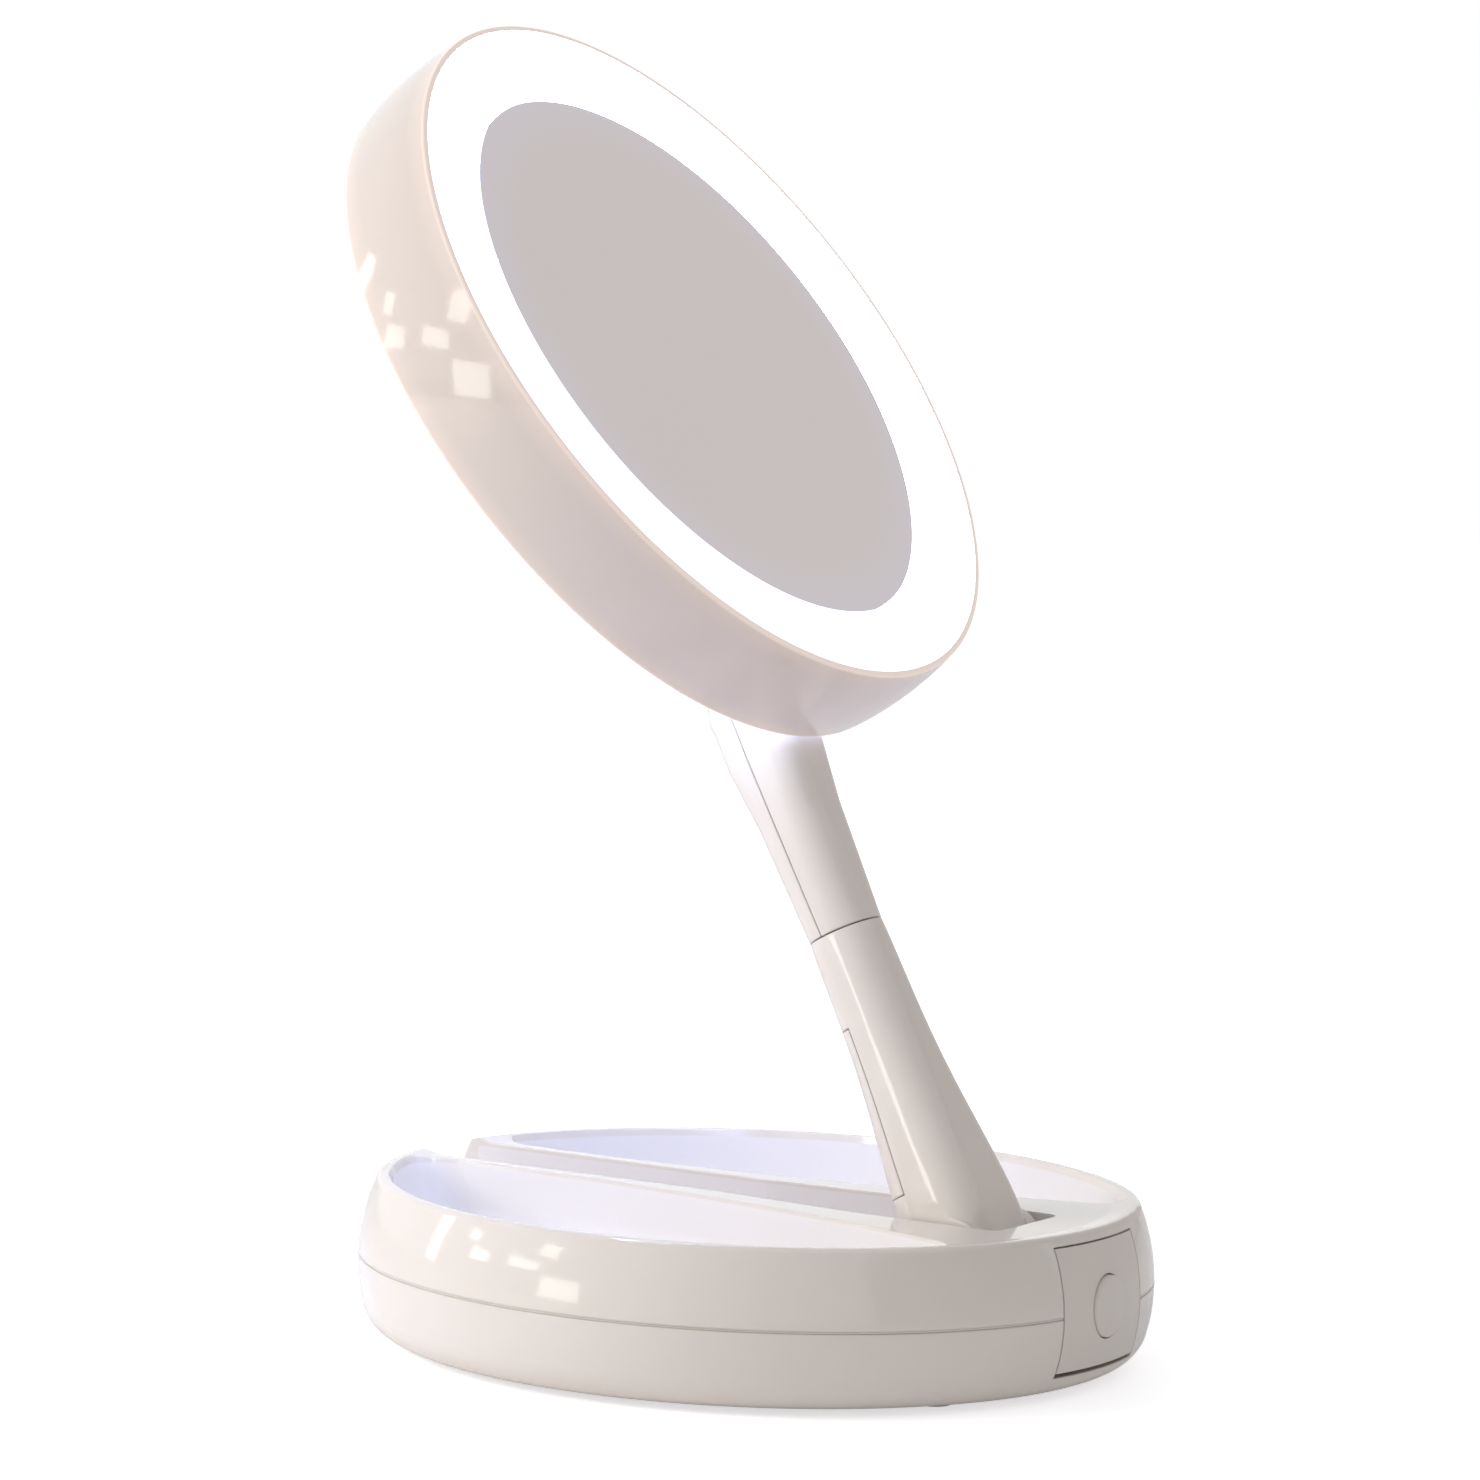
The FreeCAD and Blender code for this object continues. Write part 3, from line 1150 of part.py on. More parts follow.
def make_face(face, side):
    """Make one lit face: mirror, holder, light ring, board and lamps; side is -1 in front."""
    sign = "-" if side < 0 else ""

    def signed(low, high):
        return (f"-{high}", f"-{low}") if side < 0 else (low, high)

    def out(name):
        return f"{sign}{name}"

    on_head(cylinder(f"{face}_glass", "mirror_radius", "mirror_thickness",
                     ("0", signed("mirror_back", "mirror_face")[0], "0"), ALONG_Y), f"{face}_mirror")
    holder = [
        ("holder_outer", out("web_half")),
        ("holder_outer", out("ring_flange_end")),
        ("ring_inner", out("ring_flange_end")),
        ("ring_inner", out("mirror_back")),
        ("holder_inner", out("mirror_back")),
        ("holder_inner", out("holder_ledge_back")),
        ("ring_inner", out("holder_ledge_back")),
        ("ring_inner", out("web_half")),
    ]
    on_head(turned(f"{face}_holder", "XY_Plane", holder), f"{face}_mirror_holder")
    light = turned(f"{face}_light", "XY_Plane", [
        ("ring_inner", out("ring_face")),
        ("ring_outer", out("ring_face")),
        ("ring_outer", out("ring_back")),
        ("ring_flange_radius", out("ring_back")),
        ("ring_flange_radius", out("ring_flange_end")),
        ("ring_inner", out("ring_flange_end")),
    ])
    if side > 0:
        light_gate = bracket_gate("light_gate", "at.tongue_bottom - dim.bracket_clearance",
                                  "at.tongue_seat_top + dim.bracket_clearance")
        light = cut("back_light_window", light, light_gate)
    on_head(light, f"{face}_light_ring")
    board = ring(f"{face}_board_ring", "led_board_inner_radius", "led_board_outer_radius",
                 *signed("web_half", "board_face"))
    gate = bracket_gate(f"{face}_board_gate", "-head_radius", "-mirror_radius")
    on_head(cut(f"{face}_board", board, gate), f"{face}_led_board")
    on_head(group(f"{face}_lamps", lamps(face, side)), f"{face}_leds")


def lamps(face, side):
    """Make the lamps spread evenly round a face's board, clear of the bracket."""
    lamps_made = []
    for index in range(int(number("led_count"))):
        lamp = box(f"{face}_lamp_{index}", ("-dim.led_length / 2", "0", "-dim.led_width / 2"),
                   ("dim.led_length / 2", "led_height", "dim.led_width / 2"))
        turn = FreeCAD.Rotation(FreeCAD.Vector(0, 1, 0), number("led_start") + index * number("led_step"))
        near = number("board_face") if side > 0 else -number("board_face") - number("led_height")
        inner = number("led_circle") - number("led_width") / 2
        corner = FreeCAD.Vector(-number("led_length") / 2, near, inner)
        for axis in "xyz":
            lamp.setExpression(f"Placement.Base.{axis}", None)
        lamp.Placement = FreeCAD.Placement(turn.multVec(corner), turn)
        lamps_made.append(lamp)
    return lamps_made


def make_bracket():
    """Make the bracket that carries the head, its tongue and its two screws."""
    plate = padded("tongue_plate", "YZ_Plane", [
        ("web_half", "tongue_bottom"),
        ("head_half", "tongue_bottom"),
        ("head_hinge_depth", "tongue_low"),
        ("head_hinge_depth", "tongue_high"),
        ("tongue_shoulder", "tongue_top"),
        ("tongue_shoulder", "tongue_seat_top"),
        ("web_half", "tongue_seat_top"),
    ], "2 * dim.tongue_half_width")
    barrel = cylinder("tongue_barrel", "tongue_radius", "2 * dim.tongue_half_width",
                      ("-tongue_half_width", "head_hinge_depth", "-head_hinge_drop"), ALONG_X)
    bore = cylinder("tongue_bore", "dim.tilt_pin_radius + dim.running_fit", "2 * dim.tongue_half_width",
                    ("-tongue_half_width", "head_hinge_depth", "-head_hinge_drop"), ALONG_X)
    holes = [bracket_screw_hole(side) for side in SIDES]
    on_head(cut("tongue", fuse("tongue_solid", plate, barrel), bore, *holes), "head_hinge_bracket")
    screws = []
    for side in SIDES:
        x = f"{side} * dim.bracket_screw_spacing"
        shank = cylinder(f"bracket_shank_{side}", "bracket_screw_radius", "dim.bracket_screw_reach"
                         " + dim.web_thickness", (x, "-web_half", bracket_screw_z()), ALONG_Y)
        head = cylinder(f"bracket_head_{side}", "bracket_screw_head_radius", "bracket_screw_head_height",
                        (x, "-at.web_half - dim.bracket_screw_head_height", bracket_screw_z()), ALONG_Y)
        screws.append(fuse(f"bracket_screw_{side}", shank, head))
    on_head(group("bracket_screw_pair", screws), "bracket_screws")


def export():
    """Check every object and write one file for each piece."""
    doc.recompute()
    for item in doc.Objects:
        if "Invalid" in item.State or "Error" in item.State:
            raise RuntimeError(f"{item.Name} failed: {item.State}")
    os.makedirs("parts", exist_ok=True)
    for piece in pieces:
        shape = piece.Shape
        if shape.isNull() or not shape.isValid() or not shape.Solids:
            raise RuntimeError(f"{piece.Label} has no valid solid")
        shape.exportStep(f"parts/{piece.Label}.step")
        print(piece.Label, len(shape.Solids), round(shape.Volume, 1))


make_base_shells()
make_base_circuit()
make_batteries()
make_base_fasteners()
make_arm_hinge()
make_lower_arm()
make_swivel()
make_upper_arm()
make_tilt_pin()
make_head_rim()
make_face("front", -1)
make_face("back", 1)
make_bracket()
export()
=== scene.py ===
"""Looks of a folding lighted mirror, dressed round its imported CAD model."""

import json
import logging
import math
from collections.abc import Callable
from dataclasses import dataclass
from enum import Enum

import bpy
from mathutils import Matrix, Vector

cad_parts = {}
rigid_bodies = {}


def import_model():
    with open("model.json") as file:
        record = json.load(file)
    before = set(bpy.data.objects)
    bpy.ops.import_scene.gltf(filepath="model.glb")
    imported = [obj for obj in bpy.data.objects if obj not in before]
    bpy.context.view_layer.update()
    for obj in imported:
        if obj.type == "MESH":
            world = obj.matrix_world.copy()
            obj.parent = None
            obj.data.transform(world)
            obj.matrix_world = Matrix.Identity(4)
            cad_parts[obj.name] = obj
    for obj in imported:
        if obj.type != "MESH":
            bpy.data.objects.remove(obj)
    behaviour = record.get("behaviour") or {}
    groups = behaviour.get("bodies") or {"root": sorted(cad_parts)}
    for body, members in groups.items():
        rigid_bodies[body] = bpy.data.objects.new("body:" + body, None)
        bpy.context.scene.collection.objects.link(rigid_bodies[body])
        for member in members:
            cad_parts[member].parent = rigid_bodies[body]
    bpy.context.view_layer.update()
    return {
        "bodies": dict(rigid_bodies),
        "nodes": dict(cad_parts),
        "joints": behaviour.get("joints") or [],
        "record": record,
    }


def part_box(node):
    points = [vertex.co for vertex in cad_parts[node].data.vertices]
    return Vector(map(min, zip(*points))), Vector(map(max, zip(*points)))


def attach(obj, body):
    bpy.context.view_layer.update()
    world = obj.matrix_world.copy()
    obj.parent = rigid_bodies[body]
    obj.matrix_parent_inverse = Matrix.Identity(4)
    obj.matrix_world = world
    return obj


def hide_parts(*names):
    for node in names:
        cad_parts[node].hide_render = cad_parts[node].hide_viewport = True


LOG = logging.getLogger("folding_mirror")
MM = 0.001
FULL_TURN = 2 * math.pi
QUARTER_TURN = math.pi / 2
SMOOTH_ANGLE = math.radians(32.0)
WELD_REACH = 0.001 * MM

Colour = tuple[float, float, float]
Profile = list[tuple[float, float]]
Piece = bpy.types.Object
Material = bpy.types.Material
Tree = bpy.types.NodeTree
Node = bpy.types.Node
Socket = bpy.types.NodeSocket
BLACK: Colour = (0.0, 0.0, 0.0)


class Slot(Enum):
    """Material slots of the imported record."""

    WHITE_GLOSS = "white_gloss"
    PANEL = "panel_grey_white"
    LIGHT_RING = "light_ring"
    MIRROR = "mirror_glass"
    INNER_WHITE = "inner_white"
    BOARD = "circuit_board"
    CHIP = "black_chip"
    LAMP = "lamp"
    STEEL = "steel"
    NYLON = "nylon"
    RUBBER = "rubber_foot"
    CELL = "cell_jacket"
    WIRE = "wire_jacket"


class Side(Enum):
    """The two lit faces of the mirror head."""

    FRONT = "front"
    BACK = "back"


class Graph:
    """A node tree that is filled in code."""

    def __init__(self, tree: Tree) -> None:
        """Start from an emptied tree."""
        self.tree = tree
        tree.nodes.clear()

    def add(self, kind: str, sockets: dict[str | int, object] | None = None, **settings: object) -> Node:
        """Add a node.

        Args:
            kind: the node's type name without its ShaderNode prefix.
            sockets: values or output sockets for its inputs, by name or number.
            settings: properties of the node itself.

        Returns:
            The new node.
        """
        prefix = "" if kind.startswith("NodeGroup") else "ShaderNode"
        node = self.tree.nodes.new(prefix + kind)
        for key, value in settings.items():
            setattr(node, key, value)
        self.fill(node, sockets or {})
        return node

    def fill(self, node: Node, sockets: dict[str | int, object]) -> None:
        """Link outputs to a node's inputs, or set the inputs' own values."""
        for key, value in sockets.items():
            if isinstance(value, Socket):
                self.tree.links.new(value, node.inputs[key])
            else:
                node.inputs[key].default_value = value

    def place(self) -> Socket:
        """Give the place on the object, in the object's own frame."""
        return self.add("TexCoord").outputs["Object"]

    def math(self, operation: str, *values: object) -> Socket:
        """Work one operation on numbers or sockets."""
        return self.add("Math", dict(enumerate(values)), operation=operation).outputs[0]

    def span(self, across: Socket, along: Socket) -> Socket:
        """Give the length of a flat vector from its two parts."""
        flat = self.add("CombineXYZ", {"X": across, "Y": along}).outputs[0]
        return self.add("VectorMath", {0: flat}, operation="LENGTH").outputs["Value"]

    def ramp(self, value: Socket, start: float = 0.0, end: float = 1.0, low: float = 0.0,
             high: float = 1.0, smooth: bool = False) -> Socket:
        """Run from one level to another while a value goes from a start to an end.

        Args:
            value: the value.
            start: where it starts.
            end: where it ends.
            low: the level at the start.
            high: the level at the end.
            smooth: whether the run eases in and out.

        Returns:
            The level.
        """
        return self.add("MapRange", {"Value": value, "From Min": start, "From Max": end, "To Min": low,
                                     "To Max": high},
                        interpolation_type="SMOOTHSTEP" if smooth else "LINEAR").outputs["Result"]

    def noise(self, place: Socket, scale: object, detail: float, **extra: float) -> Socket:
        """Give a noise of a scale and detail at a place."""
        sockets = {"Vector": place, "Scale": scale, "Detail": detail, **extra}
        return self.add("TexNoise", sockets).outputs["Fac"]

    def tone(self, colour: object, value: Socket) -> Socket:
        """Make a colour lighter or darker."""
        return self.add("HueSaturation", {"Color": colour, "Value": value}).outputs["Color"]

    def blend(self, factor: Socket, first: object, second: object) -> Socket:
        """Go from one colour to another."""
        return self.add("Mix", {"Factor": factor, "A": first, "B": second}, data_type="RGBA").outputs["Result"]


def shade(colour: Colour) -> tuple[float, float, float, float]:
    """Give a colour its opaque fourth number."""
    return (*colour, 1.0)


class SurfaceGroups:
    """Shader node groups that several finishes share."""

    def __init__(self) -> None:
        """Build each group once."""
        self.mould = self.make_mould_surface()
        self.metal = self.make_drawn_metal()

    @staticmethod
    def open_group(name: str, **inputs: str) -> tuple[Graph, Node]:
        """Start a node group that gives a skin's colour, roughness and height.

        Args:
            name: the group's name.
            inputs: socket kinds by input name.

        Returns:
            The group's graph and its input node.
        """
        tree = bpy.data.node_groups.new(name, "ShaderNodeTree")
        outputs = {"Colour": "Color", "Roughness": "Float", "Height": "Float"}
        for way, sockets in {"INPUT": inputs, "OUTPUT": outputs}.items():
            for label, kind in sockets.items():
                tree.interface.new_socket(label, in_out=way, socket_type=f"NodeSocket{kind}")
        graph = Graph(tree)
        return graph, graph.add("NodeGroupInput")

    def make_mould_surface(self) -> Tree:
        """Make the skin of a moulded piece: faint mottle, handling marks and fine grain."""
        graph, node = self.open_group("mould_surface", Colour="Color", Mottle="Float", Gloss="Float",
                                      Smudge="Float", Grain="Float")
        place, given = graph.place(), node.outputs
        clouds = graph.ramp(graph.noise(place, 21.0, 3.0, Roughness=0.55), 0.25, 0.75, -1.0, 1.0)
        lift = graph.math("ADD", graph.math("MULTIPLY", clouds, given["Mottle"]), 1.0)
        marks = graph.ramp(graph.noise(place, 62.0, 6.0, Roughness=0.62, Distortion=0.8), 0.48, 0.74)
        dull = graph.math("MULTIPLY", marks, given["Smudge"])
        graph.add("NodeGroupOutput", {"Colour": graph.tone(given["Colour"], lift),
                                      "Roughness": graph.math("ADD", dull, given["Gloss"]),
                                      "Height": graph.noise(place, given["Grain"], 2.0)})
        return graph.tree

    def make_drawn_metal(self) -> Tree:
        """Make the skin of plated metal: fine scratches with patches of dulling."""
        graph, node = self.open_group("drawn_metal", Colour="Color", Gloss="Float", Wear="Float")
        place, given = graph.place(), node.outputs
        stretch = graph.add("Mapping", {"Vector": place, "Scale": (90.0, 900.0, 900.0)}).outputs[0]
        patches = graph.noise(place, 240.0, 5.0, Roughness=0.6)
        worn = graph.math("MULTIPLY", patches, given["Wear"])
        dim = graph.ramp(patches, low=1.05, high=0.85)
        graph.add("NodeGroupOutput", {"Colour": graph.tone(given["Colour"], dim),
                                      "Roughness": graph.math("ADD", worn, given["Gloss"]),
                                      "Height": graph.noise(stretch, 3.0, 4.0)})
        return graph.tree


class Surface(Graph):
    """A material's graph, which ends in a Principled shader."""

    def __init__(self, name: str) -> None:
        """Start a material under a name."""
        self.material = bpy.data.materials.new(name)
        self.material.use_nodes = True
        super().__init__(self.material.node_tree)
        self.shader = self.add("BsdfPrincipled")
        self.add("OutputMaterial", {"Surface": self.shader.outputs["BSDF"]})

    def feed(self, sockets: dict[str, object]) -> None:
        """Link outputs to the shader's inputs, or set the inputs' own values."""
        self.fill(self.shader, sockets)

    def skin(self, group: Tree, **values: object) -> Node:
        """Feed colour and roughness from a shared skin.

        Args:
            group: the skin's node group.
            values: the group's inputs.

        Returns:
            The skin's node.
        """
        skin = self.add("Group", values, node_tree=group)
        self.feed({"Base Color": skin.outputs["Colour"], "Roughness": skin.outputs["Roughness"]})
        return skin

    def bump(self, height: Socket, depth: float, strength: float = 1.0, invert: bool = False) -> Node:
        """Raise the surface.

        Args:
            height: the height.
            depth: how far a height of one rises.
            strength: how much of it shows.
            invert: whether it sinks instead.

        Returns:
            The bump's node.
        """
        bump = self.add("Bump", {"Height": height, "Distance": depth, "Strength": strength}, invert=invert)
        self.feed({"Normal": bump.outputs["Normal"]})
        return bump

    def on_head(self, head: "MirrorHead") -> dict[str, Socket]:
        """Give the place on the tilted head about the head's own middle and axis.

        Args:
            head: the mirror head.

        Returns:
            The place's parts X, Y and Z, with Y along the head's axis.
        """
        shift = self.add("VectorMath", {0: self.place(), 1: tuple(-head.centre)}, operation="ADD").outputs[0]
        level = self.add("Mapping", {"Vector": shift, "Rotation": (head.tilt, 0.0, 0.0)}).outputs[0]
        parts = self.add("SeparateXYZ", {0: level})
        return {axis: parts.outputs[axis] for axis in "XYZ"}


@dataclass(frozen=True)
class Finish:
    """A procedural finish."""

    name: str
    colour: Colour

    def material(self, groups: SurfaceGroups) -> Material:
        """Build the finish's material.

        Args:
            groups: the shared node groups.

        Returns:
            The new material.
        """
        surface = Surface(self.name)
        self.lay(surface, groups)
        return surface.material

    def lay(self, surface: Surface, groups: SurfaceGroups) -> None:
        """Fill the material's surface.

        Args:
            surface: the material's surface.
            groups: the shared node groups.
        """
        raise NotImplementedError


@dataclass(frozen=True)
class MouldedFinish(Finish):
    """A moulded plastic, nylon or rubber skin."""

    gloss: float
    mottle: float = 0.015
    smudge: float = 0.05
    grain_scale: float = 900.0
    grain_depth: float = 0.00001
    coat: float = 0.0
    soft_edge: float = 0.0

    def lay(self, surface: Surface, groups: SurfaceGroups) -> None:
        """Lay the skin with its grain, its edges and its coat."""
        skin = surface.skin(groups.mould, Colour=shade(self.colour), Mottle=self.mottle, Gloss=self.gloss,
                            Smudge=self.smudge, Grain=self.grain_scale)
        bump = surface.bump(skin.outputs["Height"], self.grain_depth)
        if self.soft_edge:
            edge = surface.add("Bevel", {"Radius": self.soft_edge}, samples=8)
            surface.fill(bump, {"Normal": edge.outputs["Normal"]})
        surface.feed({"IOR": 1.5, "Coat Weight": self.coat, "Coat Roughness": 0.03})
        self.enrich(surface, skin)

    def enrich(self, surface: Surface, skin: Node) -> None:
        """Add what only some moulded finishes have; a plain one adds nothing.

        Args:
            surface: the material's surface.
            skin: its mould surface.
        """


@dataclass(frozen=True)
class LitRimFinish(MouldedFinish):
    """A moulded rim with painted light as emission near its two edges and, cooler, towards the hinge."""

    # Painted light: the rim is no lamp; these emission colours stand in for the ring's light on it.
    glow: Colour = (0.1, 0.066, 0.05)
    painted_lip_light: Colour = (0.36, 0.29, 0.25)
    painted_hinge_light: Colour = (0.05, 0.036, 0.06)
    glow_width: float = 5.5 * MM
    lip_width: float = 0.9 * MM
    low_start: float = 0.0
    low_end: float = -75.0 * MM
    head: "MirrorHead | None" = None

    def enrich(self, surface: Surface, skin: Node) -> None:
        """Paint light as emission towards the rim's two edges and, more coolly, towards the hinge."""
        parts = surface.on_head(self.head)
        away = surface.math("ABSOLUTE", parts["Y"])
        low = surface.ramp(parts["Z"], self.low_start, self.low_end, smooth=True)
        tone = surface.blend(low, shade(BLACK), shade(self.painted_hinge_light))
        # Painted light: a wide band by each edge, and a bright narrow one painted over the shaded lip beside
        # the ring.
        for width, glow in ((self.glow_width, self.glow), (self.lip_width, self.painted_lip_light)):
            near = surface.ramp(away, self.head.half - width, self.head.half, smooth=True)
            tone = surface.blend(near, tone, shade(glow))
        surface.feed({"Emission Color": tone, "Emission Strength": 1.0})


@dataclass(frozen=True)
class TrayFinish(MouldedFinish):
    """A glossy moulding whose trays have a satin skin and a lighter, cooler colour painted in as light."""

    tray_painted_light: Colour = (0.82, 0.785, 0.78)
    satin: float = 0.42
    tray_radius: float = 78.6 * MM
    tray_top: float = 33.0 * MM
    fade: float = 0.6 * MM

    def enrich(self, surface: Surface, skin: Node) -> None:
        """Dull the skin inside the trays and the channel, and lighten and cool its colour there as painted
        light.
        """
        parts = surface.add("SeparateXYZ", {0: surface.place()}).outputs
        reach = surface.span(parts["X"], parts["Y"])
        within = surface.ramp(reach, self.tray_radius, self.tray_radius - self.fade)
        below = surface.ramp(parts["Z"], self.tray_top, self.tray_top - self.fade)
        inside = surface.math("MULTIPLY", within, below)
        rough = surface.math("MULTIPLY_ADD", inside, self.satin, skin.outputs["Roughness"])
        # Painted light: the lighter, cooler white inside stands in for the ring's light and the light bounced
        # about the channel.
        surface.fill(skin, {"Colour": surface.blend(inside, shade(self.colour), shade(self.tray_painted_light))})
        surface.feed({"Roughness": rough, "Coat Weight": surface.ramp(inside, low=self.coat, high=0.0)})


@dataclass(frozen=True)
class MetalFinish(Finish):
    """A plated metal skin."""

    gloss: float
    wear: float = 0.12
    scratch_depth: float = 0.000004

    def lay(self, surface: Surface, groups: SurfaceGroups) -> None:
        """Lay the scratched metal."""
        skin = surface.skin(groups.metal, Colour=shade(self.colour), Gloss=self.gloss, Wear=self.wear)
        surface.bump(skin.outputs["Height"], self.scratch_depth)
        surface.feed({"Metallic": 1.0})


@dataclass(frozen=True)
class SilveredGlass(Finish):
    """Mirror glass with a clean silvered back, and a little painted bluish light at its edge that stands in for
    the ring's light.
    """

    head: "MirrorHead"
    gloss: float = 0.012
    haze: float = 0.02
    painted_edge_light: Colour = (0.01, 0.017, 0.055)
    glow_start: float = 50.0 * MM
    glow_end: float = 66.0 * MM

    def lay(self, surface: Surface, groups: SurfaceGroups) -> None:
        """Lay the silvering and the painted light at its edge."""
        surface.skin(groups.mould, Colour=shade(self.colour), Mottle=0.004, Gloss=self.gloss,
                     Smudge=self.haze, Grain=400.0)
        parts = surface.on_head(self.head)
        # Painted light: an emission glow towards the glass's edge; the glass is no lamp.
        near = surface.ramp(surface.span(parts["X"], parts["Z"]), self.glow_start, self.glow_end, smooth=True)
        surface.feed({"Metallic": 1.0, "Emission Strength": 1.0,
                      "Emission Color": surface.blend(near, shade(BLACK), shade(self.painted_edge_light))})


@dataclass(frozen=True)
class LitDiffuser(Finish):
    """Milky plastic lit from behind by a circle of lamps."""

    glow: Colour
    strength: float
    head: "MirrorHead"
    seen_strength: float = 2.2
    ripple: float = 0.04
    hinge_share: float = 0.05
    hinge_low: float = -80.0 * MM
    hinge_high: float = -25.0 * MM

    def lay(self, surface: Surface, groups: SurfaceGroups) -> None:
        """Lay the glow, a little brighter over each lamp and dimmer by the hinge."""
        surface.skin(groups.mould, Colour=shade(self.colour), Mottle=0.01, Gloss=0.28, Smudge=0.05,
                     Grain=1400.0)
        parts = surface.on_head(self.head)
        angle = surface.math("ARCTAN2", parts["Z"], parts["X"])
        wave = surface.math("COSINE", surface.math("MULTIPLY", angle, float(self.head.lamp_count)))
        lift = surface.ramp(wave, -1.0, 1.0, 1.0 - self.ripple, 1.0)
        cast = surface.ramp(parts["Z"], self.hinge_low, self.hinge_high, self.hinge_share * self.strength,
                            self.strength)
        eye = surface.add("LightPath").outputs["Is Camera Ray"]
        power = surface.add("Mix", {"Factor": eye, "A": cast, "B": self.seen_strength})
        surface.feed({"Emission Color": surface.tone(shade(self.glow), lift),
                      "Emission Strength": power.outputs["Result"]})


@dataclass(frozen=True)
class BoardFinish(Finish):
    """A circuit board's solder mask over copper tracks."""

    track: Colour
    gloss: float = 0.32

    def lay(self, surface: Surface, groups: SurfaceGroups) -> None:
        """Lay the mask, sunk along the tracks."""
        cells = surface.add("TexVoronoi", {"Vector": surface.place(), "Scale": 320.0}, distance="MANHATTAN",
                            feature="DISTANCE_TO_EDGE")
        lines = surface.ramp(cells.outputs["Distance"], 0.05, 0.09)
        surface.skin(groups.mould, Colour=surface.blend(lines, shade(self.track), shade(self.colour)),
                     Mottle=0.05, Gloss=self.gloss, Smudge=0.1, Grain=1500.0)
        surface.bump(lines, 0.00003, 0.6, invert=True)


class Bench:
    """Hand modelling steps, each on one new mesh."""

    @staticmethod
    def clear() -> None:
        """Leave edit mode and let go of everything."""
        if bpy.context.object and bpy.context.object.mode != "OBJECT":
            bpy.ops.object.mode_set(mode="OBJECT")
        bpy.ops.object.select_all(action="DESELECT")

    @classmethod
    def pick(cls, *pieces: Piece) -> None:
        """Select pieces alone and make the first one active."""
        cls.clear()
        for piece in pieces:
            piece.select_set(True)
        bpy.context.view_layer.objects.active = pieces[0]

    @staticmethod
    def named(name: str) -> Piece:
        """Name the active object and its mesh, and give it."""
        piece = bpy.context.object
        piece.name = piece.data.name = name
        return piece

    @staticmethod
    def select_vertices(piece: Piece, wanted: Callable[[Vector], bool]) -> None:
        """Select the vertices of a piece in edit mode that a test picks out by their place.

        Args:
            piece: the object in edit mode.
            wanted: a test of a vertex's place.
        """
        bpy.ops.mesh.select_mode(type="VERT")
        bpy.ops.mesh.select_all(action="DESELECT")
        bpy.ops.object.mode_set(mode="OBJECT")
        for vertex in piece.data.vertices:
            vertex.select = wanted(vertex.co)
        bpy.ops.object.mode_set(mode="EDIT")

    @staticmethod
    def draw_out(rise: float, scale: float, height: float) -> None:
        """Extrude the selected loop to a new height and radius.

        Args:
            rise: how far the loop climbs.
            scale: the new radius over the old one, or zero to close the loop.
            height: the height that the loop reaches.
        """
        bpy.ops.mesh.extrude_region_move(TRANSFORM_OT_translate={"value": (0.0, 0.0, rise)})
        if scale == 0.0:
            bpy.ops.mesh.merge(type="CENTER")
        else:
            bpy.ops.transform.resize(value=(scale, scale, 1.0), center_override=(0.0, 0.0, height))

    @classmethod
    def turn(cls, name: str, profile: Profile, steps: int = 160, closed: bool = False) -> Piece:
        """Turn a profile about the z axis by drawing a circle out, loop by loop.

        Args:
            name: the piece's name.
            profile: radius and height of each corner, in metres; only the ends may lie on the axis.
            steps: sides of the circle.
            closed: whether the last corner joins the first.

        Returns:
            The new object, with smooth faces.
        """
        cls.clear()
        open_start = profile[0][0] == 0.0
        run = profile[1:] if open_start else profile
        radius, height = run[0]
        bpy.ops.mesh.primitive_circle_add(vertices=steps, radius=radius, enter_editmode=True)
        piece = cls.named(name)
        bpy.ops.transform.translate(value=(0.0, 0.0, height))
        for next_radius, next_height in run[1:]:
            cls.draw_out(next_height - height, next_radius / radius, next_height)
            radius, height = next_radius, next_height
        if open_start:
            first = run[0]
            slack = 0.02 * MM
            cls.select_vertices(piece, lambda spot: abs(spot.xy.length - first[0]) < slack
                                and abs(spot.z - first[1]) < slack)
            cls.draw_out(profile[0][1] - first[1], 0.0, profile[0][1])
        if closed:
            bpy.ops.mesh.select_all(action="DESELECT")
            bpy.ops.mesh.select_non_manifold()
            bpy.ops.mesh.bridge_edge_loops()
        cls.finish_mesh(piece)
        return piece

    @classmethod
    def block(cls, name: str, size: Vector, centre: Vector, softness: float, segments: int = 3) -> Piece:
        """Model a block with soft edges.

        Args:
            name: the piece's name.
            size: its three lengths.
            centre: its middle.
            softness: the width of its rounded edges.
            segments: the steps across a rounded edge.

        Returns:
            The new object.
        """
        cls.clear()
        bpy.ops.mesh.primitive_cube_add(size=1.0, enter_editmode=True)
        piece = cls.named(name)
        bpy.ops.transform.resize(value=tuple(size), center_override=(0.0, 0.0, 0.0))
        bpy.ops.mesh.bevel(offset=softness, segments=segments, affect="EDGES")
        bpy.ops.transform.translate(value=tuple(centre))
        cls.finish_mesh(piece)
        return piece

    @classmethod
    def finish_mesh(cls, piece: Piece) -> None:
        """Merge doubles, face the mesh outwards and smooth it.

        Args:
            piece: the object in edit mode; it is left in object mode and selected.
        """
        bpy.ops.mesh.select_all(action="SELECT")
        bpy.ops.mesh.remove_doubles(threshold=WELD_REACH)
        bpy.ops.mesh.normals_make_consistent(inside=False)
        cls.pick(piece)
        bpy.ops.object.shade_smooth_by_angle(angle=SMOOTH_ANGLE)

